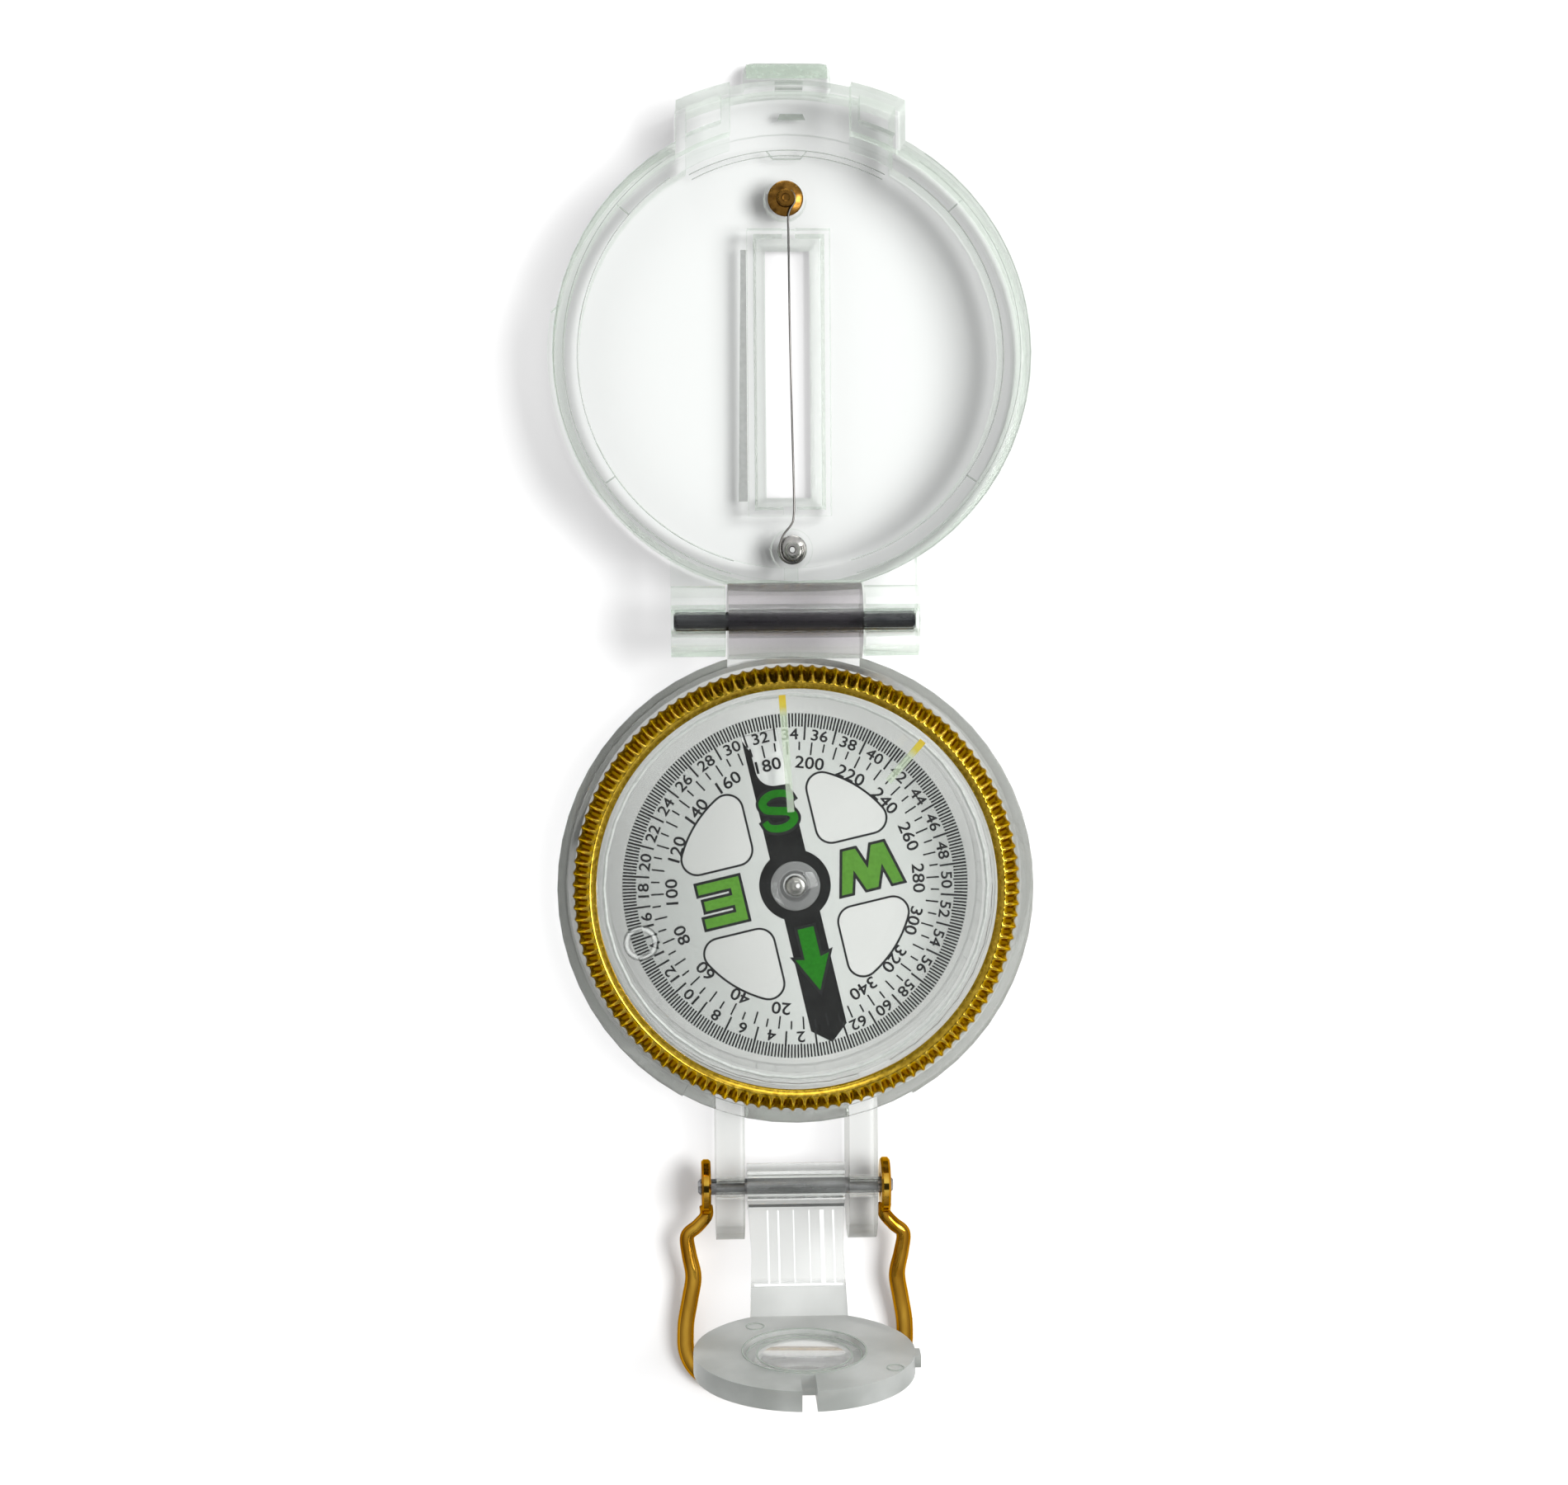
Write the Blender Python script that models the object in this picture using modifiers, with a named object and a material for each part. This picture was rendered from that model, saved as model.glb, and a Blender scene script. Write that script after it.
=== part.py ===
"""A folding lensatic compass in clear plastic, lying open: lid laid back, eyepiece raised, thumb loop down.

+Z is up and +Y points from the case to the opened lid.
The origin is on the case's underside, under the dial's pivot.
"""

import math

import bmesh
import bpy
from mathutils import Matrix

MM = 0.001
GAP = 0.3 * MM  # clearance that neighbouring pieces keep
ROUND = 60  # sides of a large turned piece
BARREL_ROUND = 36  # sides of a hinge barrel
SMALL_ROUND = 20  # sides of a pin, rivet or hub

# Case
CASE_RADIUS = 27.75 * MM
CASE_TOP = 12.5 * MM
CASE_BODY_RADIUS = 26.75 * MM
FLANGE_BOTTOM = 10.0 * MM
FLOOR = 1.6 * MM
WELL_RADIUS = 23.7 * MM
SHELF_TOP = 8.4 * MM
CHANNEL_RADIUS = 25.45 * MM
LIP_RADIUS = 24.8 * MM
LIP_BOTTOM = 11.9 * MM

# Lid hinge
HINGE_Y = 31.0 * MM
HINGE_Z = 13.0 * MM
CASE_BARREL_RADIUS = 4.4 * MM
CASE_BARREL_HALF = 7.75 * MM
LID_BARREL_RADIUS = 4.1 * MM
LID_BARREL_INNER = 8.05 * MM
LID_BARREL_OUTER = 14.3 * MM
LID_PIN_RADIUS = 1.1 * MM

# Lid, in its opened place
LID_CENTRE_Y = 2 * HINGE_Y
LID_TOP = 12.8 * MM
LID_FLOOR = 2.0 * MM
LID_BORE = 24.8 * MM
LID_RIM_BORE = 26.4 * MM
LID_STEP = 8.8 * MM
HOOD_RADIUS = 31.9 * MM
HOOD_HALF = 13.25 * MM
HOOD_WALL = 1.2 * MM
HOOD_RIB_INNER = 7.0 * MM
HOOD_RIB_OUTER = 8.0 * MM
HOOD_POCKET_TOP = 8.5 * MM
HOOD_NOTCH_BOTTOM = 9.0 * MM
NUB_HALF = 5.1 * MM
NUB_REACH = 35.0 * MM
NUB_TOP = 4.0 * MM
SLOT_FAR_Y = 75.0 * MM
SLOT_NEAR_Y = 45.6 * MM
SLOT_HALF = 2.7 * MM
COLLAR_WALL = 2.2 * MM
COLLAR_TOP = 5.1 * MM
COLLAR_NOTCH_HALF = 0.8 * MM
WIRE_Z = 4.75 * MM
WIRE_RADIUS = 0.2 * MM
RIVET_BOSS_RADIUS = 2.4 * MM
RIVET_BOSS_TOP = 3.9 * MM
RIVET_NECK = 0.8 * MM
FAR_RIVET = (-0.3 * MM, 80.8 * MM, 2.1 * MM)  # x, y and flange radius
NEAR_RIVET = (0.2 * MM, 39.4 * MM, 1.75 * MM)

# Clevis and eyepiece, whose own shape is given as it lies closed over the dial
PIVOT_Y = -36.2 * MM
PIVOT_Z = 5.2 * MM
EYEPIECE_OPEN = math.radians(98)
CLEVIS_INNER = 6.15 * MM
CLEVIS_OUTER = 9.5 * MM
CLEVIS_BOTTOM = 0.4 * MM
CLEVIS_END = 6.2 * MM
EYE_BARREL_RADIUS = 2.75 * MM
EYE_BARREL_HALF = 5.8 * MM
EYE_PIN_RADIUS = 0.95 * MM
EYE_PIN_HALF = 11.6 * MM
DISC_RADIUS = 12.6 * MM
DISC_Y = 20.9 * MM
DISC_BOTTOM = 12.8 * MM
DISC_TOP = 15.2 * MM
ARM_HALF = 5.8 * MM
ARM_WAIST = 5.4 * MM
ARM_THICK = 2.2 * MM
ARM_LENGTH = 17.0 * MM
ARM_LEAN = math.radians(32.7)
LENS_SEAT_RADIUS = 7.0 * MM
LENS_SEAT_TOP = 14.5 * MM
LENS_HOLE_RADIUS = 5.6 * MM
SIGHT_NOTCH_HALF = 0.85 * MM
SIGHT_NOTCH_DEPTH = 5.0 * MM

# Thumb loop
LOOP_REACH = 25.0 * MM
LOOP_WIRE = 1.0 * MM
LOOP_EYE_X = 10.65 * MM
LOOP_EYE_THICK = 1.1 * MM
LOOP_EYE_RADIUS = 3.3 * MM
LOOP_DOWN = math.asin((PIVOT_Z - LOOP_WIRE) / LOOP_REACH)

# Bezel
BEZEL_TURN = math.radians(4)
BEZEL_BOTTOM = 12.9 * MM
BEZEL_CREST = 16.4 * MM
BEZEL_OPENING = 23.2 * MM
BEZEL_BORE = 23.9 * MM
TOOTH_COUNT = 120
TOOTH_TIP = 26.0 * MM
TOOTH_ROOT = 25.1 * MM
TOOTH_TOP = 15.9 * MM
CRYSTAL_RADIUS = 23.6 * MM
CRYSTAL_BOTTOM = 14.2 * MM
CRYSTAL_TOP = 15.2 * MM

# Capsule and dial
CAPSULE_RADIUS = 23.1 * MM
CAPSULE_BORE = 21.9 * MM
CAPSULE_FLOOR = 2.9 * MM
WINDOW_SEAT_RADIUS = 22.9 * MM
DIAL_RADIUS = 20.3 * MM
DIAL_BOTTOM = 9.4 * MM
DIAL_TOP = 9.8 * MM
DIAL_TURN = math.radians(-167)
NEEDLE_HALF = 2.15 * MM
NEEDLE_REACH = 19.0 * MM
NEEDLE_EYE = 4.2 * MM
HUB_HOLE = 2.1 * MM


def clear_scene():
    for obj in list(bpy.data.objects):
        bpy.data.objects.remove(obj, do_unlink=True)


def material(name, colour, roughness, metallic=0.0, clear=0.0):
    """A Principled material; clear is how much of the light passes through it."""
    made = bpy.data.materials.new(name)
    made.use_nodes = True
    shader = made.node_tree.nodes["Principled BSDF"]
    shader.inputs["Base Color"].default_value = (*colour, 1)
    shader.inputs["Roughness"].default_value = roughness
    shader.inputs["Metallic"].default_value = metallic
    shader.inputs["Transmission Weight"].default_value = clear
    made.diffuse_color = (*colour, 1 - 0.6 * clear)
    return made


def place(name, data):
    obj = bpy.data.objects.new(name, data)
    COLLECTION.objects.link(obj)
    return obj


def bake(obj):
    """Turns an object, with its modifiers and its place, into a plain mesh in world coordinates."""
    bpy.context.view_layer.update()
    graph = bpy.context.evaluated_depsgraph_get()
    mesh = bpy.data.meshes.new_from_object(obj.evaluated_get(graph))
    mesh.transform(obj.matrix_world)
    work = bmesh.new()
    work.from_mesh(mesh)
    bmesh.ops.remove_doubles(work, verts=work.verts, dist=1e-7)
    work.to_mesh(mesh)
    work.free()
    name = obj.name
    bpy.data.objects.remove(obj, do_unlink=True)
    return place(name, mesh)


def turned(name, profile, sides=ROUND):
    """Turns a profile of (radius, height) points about Z. One that starts off the axis closes into a ring."""
    mesh = bpy.data.meshes.new(name)
    edges = [(i, i + 1) for i in range(len(profile) - 1)]
    if profile[0][0] > 0:
        edges.append((len(profile) - 1, 0))
    mesh.from_pydata([(radius, 0, height) for radius, height in profile], edges, [])
    obj = place(name, mesh)
    screw = obj.modifiers.new("Turn", "SCREW")
    screw.steps = screw.render_steps = sides
    screw.use_merge_vertices = True
    screw.merge_threshold = 1e-6
    return bake(obj)


def prism(name, loops, bottom, top):
    """Raises a flat outline from bottom to top. Loops after the first are its holes."""
    curve = bpy.data.curves.new(name, "CURVE")
    curve.dimensions = "2D"
    curve.fill_mode = "BOTH"
    curve.extrude = (top - bottom) / 2
    for points in loops:
        spline = curve.splines.new("POLY")
        spline.points.add(len(points) - 1)
        for point, (x, y) in zip(spline.points, points):
            point.co = (x, y, 0, 1)
        spline.use_cyclic_u = True
    obj = place(name, curve)
    obj.location.z = (bottom + top) / 2
    return bake(obj)


def tube(name, points, radius, sides=2, cyclic=False, swell=None):
    """A wire along a list of points. swell scales its radius at each point."""
    curve = bpy.data.curves.new(name, "CURVE")
    curve.dimensions = "3D"
    curve.bevel_depth = radius
    curve.bevel_resolution = sides
    curve.use_fill_caps = not cyclic
    spline = curve.splines.new("POLY")
    spline.points.add(len(points) - 1)
    for index, (point, spot) in enumerate(zip(spline.points, points)):
        point.co = (*spot, 1)
        point.radius = swell[index] if swell else 1.0
    spline.use_cyclic_u = cyclic
    return bake(place(name, curve))


def box(name, x, y, z):
    """A block between the pairs of limits x, y and z."""
    work = bmesh.new()
    bmesh.ops.create_cube(work, size=1)
    mesh = bpy.data.meshes.new(name)
    work.to_mesh(mesh)
    work.free()
    obj = place(name, mesh)
    obj.scale = [high - low for low, high in (x, y, z)]
    obj.location = [(low + high) / 2 for low, high in (x, y, z)]
    return bake(obj)


def rod(name, radius, ends, y, z, sides=SMALL_ROUND):
    """A cylinder along X between two ends."""
    work = bmesh.new()
    bmesh.ops.create_cone(
        work, cap_ends=True, segments=sides, radius1=radius, radius2=radius, depth=ends[1] - ends[0]
    )
    mesh = bpy.data.meshes.new(name)
    work.to_mesh(mesh)
    work.free()
    obj = place(name, mesh)
    obj.rotation_euler = (0, math.pi / 2, 0)
    obj.location = ((ends[0] + ends[1]) / 2, y, z)
    return bake(obj)


def boolean(body, tool, operation):
    name = body.name
    change = body.modifiers.new(operation, "BOOLEAN")
    change.operation = operation
    change.solver = "EXACT"
    change.object = tool
    made = bake(body)
    bpy.data.objects.remove(tool, do_unlink=True)
    made.name = name
    return made


def join(body, *tools):
    for tool in tools:
        body = boolean(body, tool, "UNION")
    return body


def cut(body, *tools):
    for tool in tools:
        body = boolean(body, tool, "DIFFERENCE")
    return body


def moved(obj, matrix):
    obj.data.transform(matrix)
    return obj


def finish(obj, name, look, axis=None):
    """Names a piece, gives it its material and smooth shading, and hangs it on its joint's empty."""
    obj.name = name
    obj.data.name = name
    obj.data.materials.clear()
    obj.data.materials.append(look)
    obj.data.shade_smooth()
    obj.data.set_sharp_from_angle(angle=math.radians(30))
    if axis:
        obj.parent = axis
        obj.matrix_parent_inverse = axis.matrix_world.inverted()
    return obj


def joint_axis(name, x, y, z):
    empty = place(name, None)
    empty.location = (x, y, z)
    empty.empty_display_size = 3 * MM
    bpy.context.view_layer.update()
    return empty


def arc(centre, radius, start, end, count):
    """Points on an arc, with angles in degrees from +X."""
    steps = [math.radians(start + (end - start) * i / (count - 1)) for i in range(count)]
    return [(centre[0] + radius * math.cos(a), centre[1] + radius * math.sin(a)) for a in steps]


def circle(radius, count, centre=(0, 0)):
    return arc(centre, radius, 0, 360 * (count - 1) / count, count)


def ring_sector(name, radii, degrees, heights, count=24):
    outline = arc((0, 0), radii[1], *degrees, count) + arc((0, 0), radii[0], *degrees[::-1], count)
    return prism(name, [outline], *heights)


def smooth_path(points, steps):
    """A Catmull-Rom curve through the points."""
    padded = [points[0], *points, points[-1]]
    path = []
    for a, b, c, d in zip(padded, padded[1:], padded[2:], padded[3:]):
        for i in range(steps):
            t = i / steps
            path.append(
                tuple(
                    q
                    + 0.5 * (r - p) * t
                    + 0.5 * (2 * p - 5 * q + 4 * r - s) * t**2
                    + 0.5 * (3 * q - p - 3 * r + s) * t**3
                    for p, q, r, s in zip(a, b, c, d)
                )
            )
    return [*path, points[-1]]


def case():
    """The case: a cup with a flange, half of the lid hinge, and the clevis for the eyepiece."""
    body = turned(
        "case",
        [
            (0, CASE_TOP),
            (CASE_RADIUS, CASE_TOP),
            (CASE_RADIUS, FLANGE_BOTTOM),
            (CASE_BODY_RADIUS, FLANGE_BOTTOM - 1.2 * MM),
            (CASE_BODY_RADIUS, 0.8 * MM),
            (CASE_BODY_RADIUS - 0.8 * MM, 0),
            (0, 0),
        ],
    )
    web = box(
        "web",
        (-CASE_BARREL_HALF, CASE_BARREL_HALF),
        (24 * MM, HINGE_Y),
        (HINGE_Z - CASE_BARREL_RADIUS + 0.2 * MM, CASE_TOP - 0.1 * MM),
    )
    ends = (-CASE_BARREL_HALF, CASE_BARREL_HALF)
    body = join(body, web, rod("barrel", CASE_BARREL_RADIUS, ends, HINGE_Y, HINGE_Z, BARREL_ROUND))
    for side in (-1, 1):
        body = join(body, clevis_arm(side))
    well = turned(
        "well",
        [
            (0, CASE_TOP + 1 * MM),
            (LIP_RADIUS, CASE_TOP + 1 * MM),
            (LIP_RADIUS, LIP_BOTTOM),
            (CHANNEL_RADIUS, LIP_BOTTOM),
            (CHANNEL_RADIUS, SHELF_TOP),
            (WELL_RADIUS, SHELF_TOP),
            (WELL_RADIUS, FLOOR),
            (0, FLOOR),
        ],
    )
    hinge_bore = rod("bore", LID_PIN_RADIUS + GAP, (-20 * MM, 20 * MM), HINGE_Y, HINGE_Z)
    clevis_bore = rod("bore", EYE_PIN_RADIUS + GAP, (-20 * MM, 20 * MM), PIVOT_Y, PIVOT_Z)
    step_heights = (CASE_TOP - 1.2 * MM, CASE_TOP + 1 * MM)
    front_step = ring_sector("front_step", (26.3 * MM, 29 * MM), (-90 - 29, -90 + 29), step_heights)
    body = cut(body, well, hinge_bore, clevis_bore, front_step)
    finish(body, "base_case", CLEAR)


def clevis_arm(side):
    """One arm of the clevis, drawn from the side and raised along X."""
    half = (10.4 * MM - CLEVIS_BOTTOM) / 2
    middle = CLEVIS_BOTTOM + half
    end = (PIVOT_Y - CLEVIS_END + half, middle)
    outline = [(-24 * MM, CLEVIS_BOTTOM)]
    outline += arc(end, half, 270, 90, 17)
    outline += [(-24 * MM, CLEVIS_BOTTOM + 2 * half)]
    arm = prism("arm", [outline], CLEVIS_INNER, CLEVIS_OUTER)
    # The outline's x, y and raise become the part's Y, Z and X.
    arm = moved(arm, Matrix(((0, 0, 1, 0), (1, 0, 0, 0), (0, 1, 0, 0), (0, 0, 0, 1))))
    if side < 0:
        arm = moved(arm, Matrix.Translation((-CLEVIS_INNER - CLEVIS_OUTER, 0, 0)))
    return arm


def capsule():
    """The sealed, liquid-filled capsule that the dial turns in."""
    cup = turned(
        "cup",
        [
            (CAPSULE_RADIUS, CASE_TOP),
            (CAPSULE_RADIUS, FLOOR + GAP),
            (1.2 * MM, FLOOR + GAP),
            (1.2 * MM, CAPSULE_FLOOR),
            (CAPSULE_BORE, CAPSULE_FLOOR),
            (CAPSULE_BORE, 10.7 * MM),
            (WINDOW_SEAT_RADIUS, 10.7 * MM),
            (WINDOW_SEAT_RADIUS, CASE_TOP),
        ],
    )
    finish(cup, "capsule_cup", CLEAR)
    seal_radius = (CAPSULE_BORE + WINDOW_SEAT_RADIUS) / 2
    seal = tube("seal", [(x, y, 11.25 * MM) for x, y in circle(seal_radius, 36)], 0.22 * MM, 0, cyclic=True)
    finish(seal, "capsule_gasket", RUBBER)
    profile = [(0, 12.4 * MM), (22.6 * MM, 12.4 * MM), (22.6 * MM, 11.8 * MM), (0, 11.8 * MM)]
    finish(turned("window", profile), "capsule_window", CLEAR)
    post = turned(
        "post",
        [
            (0, 9.6 * MM),
            (0.15 * MM, 9.5 * MM),
            (0.55 * MM, 8.7 * MM),
            (0.55 * MM, 4.6 * MM),
            (1.5 * MM, 4.2 * MM),
            (1.5 * MM, CAPSULE_FLOOR + GAP),
            (0.9 * MM, CAPSULE_FLOOR + GAP),
            (0.9 * MM, FLOOR + 2 * GAP),
            (0, FLOOR + 2 * GAP),
        ],
        SMALL_ROUND,
    )
    finish(post, "pivot_post", BRASS)


def dial_window(quarter):
    """The outline of one opening in the card: a quadrant with rounded corners."""
    edge, reach, corner = 4.0 * MM, 13.6 * MM, 1.7 * MM
    near = edge + corner
    far = math.sqrt((reach - corner) ** 2 - near**2)
    lean = math.degrees(math.atan2(near, far))
    outline = arc((near, near), corner, 180, 270, 6)
    outline += arc((far, near), corner, -90, lean, 8)
    outline += arc((0, 0), reach, lean, 90 - lean, 14)[1:-1]
    outline += arc((near, far), corner, 90 - lean, 180, 8)
    turn = quarter * math.pi / 2
    return [
        (x * math.cos(turn) - y * math.sin(turn), x * math.sin(turn) + y * math.cos(turn)) for x, y in outline
    ]


def dial():
    """The card, the magnet under it and the jewel cup that carries both, drawn with north at +Y."""
    axis = joint_axis("dial_axis", 0, 0, DIAL_TOP)
    turn = Matrix.Rotation(DIAL_TURN, 4, "Z")
    loops = [circle(DIAL_RADIUS, 72), circle(HUB_HOLE, 24)] + [dial_window(quarter) for quarter in range(4)]
    finish(moved(prism("card", loops, DIAL_BOTTOM, DIAL_TOP), turn), "dial_card", MILKY, axis)

    meet = math.degrees(math.asin(NEEDLE_HALF / NEEDLE_EYE))
    outline = [(0, NEEDLE_REACH), (-NEEDLE_HALF, NEEDLE_REACH - 1.8 * MM)]
    outline += arc((0, 0), NEEDLE_EYE, 90 + meet, 270 - meet, 12)
    outline += [(-NEEDLE_HALF, 0.6 * MM - NEEDLE_REACH), (NEEDLE_HALF, 0.6 * MM - NEEDLE_REACH)]
    outline += arc((0, 0), NEEDLE_EYE, meet - 90, 90 - meet, 12)
    outline += [(NEEDLE_HALF, NEEDLE_REACH - 1.8 * MM)]
    bar = prism("bar", [outline, circle(HUB_HOLE, 24)], DIAL_BOTTOM - GAP - 0.8 * MM, DIAL_BOTTOM - GAP)
    finish(moved(bar, turn), "compass_needle", BLACK, axis)

    hub = turned(
        "hub",
        [
            (0, 11.3 * MM),
            (0.8 * MM, 11.1 * MM),
            (1.2 * MM, 10.8 * MM),
            (2.7 * MM, 10.6 * MM),
            (2.9 * MM, DIAL_TOP + GAP),
            (HUB_HOLE - GAP, DIAL_TOP + GAP),
            (HUB_HOLE - GAP, 8.0 * MM),
            (1.0 * MM, 8.0 * MM),
            (0.9 * MM, 9.6 * MM),
            (0, 10.0 * MM),
        ],
        SMALL_ROUND,
    )
    finish(hub, "jewel_cup", CLEAR, axis)


def bezel():
    """The toothed ring with its crystal, the split ring under it, and two sighting lines."""
    axis = joint_axis("bezel_axis", 0, 0, BEZEL_BOTTOM)
    turn = Matrix.Rotation(BEZEL_TURN, 4, "Z")
    inner = turned(
        "inner",
        [
            (24.55 * MM, BEZEL_CREST),
            (24.8 * MM, BEZEL_CREST - 0.2 * MM),
            (24.8 * MM, BEZEL_BOTTOM + 0.2 * MM),
            (24.4 * MM, BEZEL_BOTTOM + 0.2 * MM),
            (24.4 * MM, 10.7 * MM),
            (24.9 * MM, 10.7 * MM),
            (24.9 * MM, 10.0 * MM),
            (BEZEL_BORE, 10.0 * MM),
            (BEZEL_BORE, CRYSTAL_TOP + GAP),
            (BEZEL_OPENING, CRYSTAL_TOP + GAP),
            (BEZEL_OPENING, BEZEL_CREST - 0.5 * MM),
        ],
    )
    tips = circle(TOOTH_TIP, 2 * TOOTH_COUNT)
    roots = circle(TOOTH_ROOT, 2 * TOOTH_COUNT)
    teeth = [tips[i] if i % 2 else roots[i] for i in range(2 * TOOTH_COUNT)]
    rim = prism("rim", [teeth, circle(24.15 * MM, ROUND)], BEZEL_BOTTOM, TOOTH_TOP)
    finish(moved(join(rim, inner), turn), "bezel_ring", GOLD, axis)

    crystal = turned(
        "crystal",
        [
            (0, CRYSTAL_TOP),
            (CRYSTAL_RADIUS, CRYSTAL_TOP),
            (CRYSTAL_RADIUS, CRYSTAL_BOTTOM),
            (0, CRYSTAL_BOTTOM),
        ],
    )
    finish(moved(crystal, turn), "bezel_crystal", CLEAR, axis)

    ring = ring_sector("ring", (22.8 * MM, 23.6 * MM), (-67 + 5, -67 + 355), (13.3 * MM, 13.9 * MM), 40)
    finish(ring, "crystal_snap_ring", CLEAR, axis)

    lines = (("sighting_line_long", 90, 8.9 * MM), ("sighting_line_short", 45, 16.3 * MM))
    for name, degrees, start in lines:
        line = box(name, (start, 22.5 * MM), (-0.4 * MM, 0.4 * MM), (13.6 * MM, 13.9 * MM))
        finish(moved(line, Matrix.Rotation(BEZEL_TURN + math.radians(degrees), 4, "Z")), name, LUME, axis)


def bezel_fittings():
    """What stays in the case: the split ring that keeps the bezel down and the spring it clicks on."""
    points = [(x, y, 11.3 * MM) for x, y in arc((0, 0), 24.9 * MM, 100, 440, 40)]
    finish(tube("ring", points, 0.25 * MM, 0), "bezel_retaining_ring", STEEL)

    leaf = bpy.data.meshes.new("leaf")
    middle, steps = 24.55 * MM, 12
    strip = []
    for i in range(steps + 1):
        angle = math.radians(-15 + 30 * i / steps)
        lift = SHELF_TOP + GAP + 0.5 * MM * math.sin(math.pi * i / steps) ** 2
        for radius in (middle - 0.5 * MM, middle + 0.5 * MM):
            strip.append((radius * math.cos(angle), radius * math.sin(angle), lift))
    leaf.from_pydata(strip, [], [(2 * i, 2 * i + 1, 2 * i + 3, 2 * i + 2) for i in range(steps)])
    obj = place("leaf", leaf)
    thicken = obj.modifiers.new("Thickness", "SOLIDIFY")
    thicken.thickness = 0.25 * MM
    thicken.offset = 1
    finish(bake(obj), "bezel_click_spring", STEEL)


def hood_outline(half, reach):
    """Straight sides at +-half, closed by an arc about the lid's centre."""
    lean = math.degrees(math.asin(half / reach))
    return [(half, LID_CENTRE_Y + 12 * MM), *arc((0, LID_CENTRE_Y), reach, 90 - lean, 90 + lean, 25)] + [
        (-half, LID_CENTRE_Y + 12 * MM)
    ]


def lid():
    """The lid: a stepped cup with a sighting slot, a hood for the eyepiece, and two hinge barrels."""
    axis = joint_axis("lid_axis", 0, HINGE_Y, HINGE_Z)
    at_lid = Matrix.Translation((0, LID_CENTRE_Y, 0))
    body = moved(
        turned(
            "lid",
            [
                (0, LID_TOP),
                (CASE_RADIUS, LID_TOP),
                (CASE_RADIUS, 1.0 * MM),
                (CASE_RADIUS - 1.0 * MM, 0),
                (0, 0),
            ],
        ),
        at_lid,
    )
    hood = prism("hood", [hood_outline(HOOD_HALF, HOOD_RADIUS)], 0.15 * MM, LID_TOP - 0.1 * MM)
    body = join(body, hood, lid_nub())
    for side in (-1, 1):
        ends = sorted((side * LID_BARREL_INNER, side * LID_BARREL_OUTER))
        heights = (HINGE_Z - LID_BARREL_RADIUS + 0.2 * MM, LID_TOP - 0.15 * MM)
        web = box("web", ends, (HINGE_Y, 39 * MM), heights)
        body = join(body, web, rod("barrel", LID_BARREL_RADIUS, ends, HINGE_Y, HINGE_Z, BARREL_ROUND))

    bore = turned(
        "bore",
        [
            (0, LID_TOP + 2 * MM),
            (LID_RIM_BORE, LID_TOP + 2 * MM),
            (LID_RIM_BORE, LID_STEP),
            (LID_BORE, LID_STEP),
            (LID_BORE, LID_FLOOR),
            (0, LID_FLOOR),
        ],
    )
    body = cut(body, moved(bore, at_lid), *hood_cutters())
    for x, y, _ in (FAR_RIVET, NEAR_RIVET):
        foot = RIVET_BOSS_RADIUS + 0.3 * MM
        profile = [(0, RIVET_BOSS_TOP), (RIVET_BOSS_RADIUS, RIVET_BOSS_TOP), (foot, 1 * MM), (0, 1 * MM)]
        boss = turned("boss", profile, SMALL_ROUND)
        profile = [(0, 6 * MM), (1.05 * MM, 6 * MM), (1.05 * MM, 2.4 * MM), (0, 2.4 * MM)]
        drill = turned("drill", profile, SMALL_ROUND)
        spot = Matrix.Translation((x, y, 0))
        body = cut(join(body, moved(boss, spot)), moved(drill, spot))

    collar = box(
        "collar",
        (-SLOT_HALF - COLLAR_WALL, SLOT_HALF + COLLAR_WALL),
        (SLOT_NEAR_Y - COLLAR_WALL, SLOT_FAR_Y + COLLAR_WALL),
        (1 * MM, COLLAR_TOP),
    )
    slot = box("slot", (-SLOT_HALF, SLOT_HALF), (SLOT_NEAR_Y, SLOT_FAR_Y), (-1 * MM, 8 * MM))
    across = (-COLLAR_NOTCH_HALF, COLLAR_NOTCH_HALF)
    groove = box("groove", across, (35 * MM, 90 * MM), (WIRE_Z - 3 * WIRE_RADIUS, 6 * MM))
    ends = (0.02 * MM - LID_BARREL_INNER, LID_BARREL_INNER - 0.02 * MM)
    relief = rod("relief", CASE_BARREL_RADIUS + 0.35 * MM, ends, HINGE_Y, HINGE_Z, BARREL_ROUND)
    pin_bore = rod("pin_bore", LID_PIN_RADIUS + GAP, (-20 * MM, 20 * MM), HINGE_Y, HINGE_Z)
    body = cut(join(body, collar), slot, groove, relief, pin_bore)
    finish(body, "lid_shell", CLEAR, axis)
    sighting_wire(axis)


def lid_nub():
    tip = LID_CENTRE_Y + NUB_REACH
    corner = 1.2 * MM
    outline = [(NUB_HALF, LID_CENTRE_Y + 28 * MM)]
    outline += arc((NUB_HALF - corner, tip - corner), corner, 0, 90, 5)
    outline += arc((corner - NUB_HALF, tip - corner), corner, 90, 180, 5)
    outline += [(-NUB_HALF, LID_CENTRE_Y + 28 * MM)]
    return prism("nub", [outline], 0.3 * MM, NUB_TOP)


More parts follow.
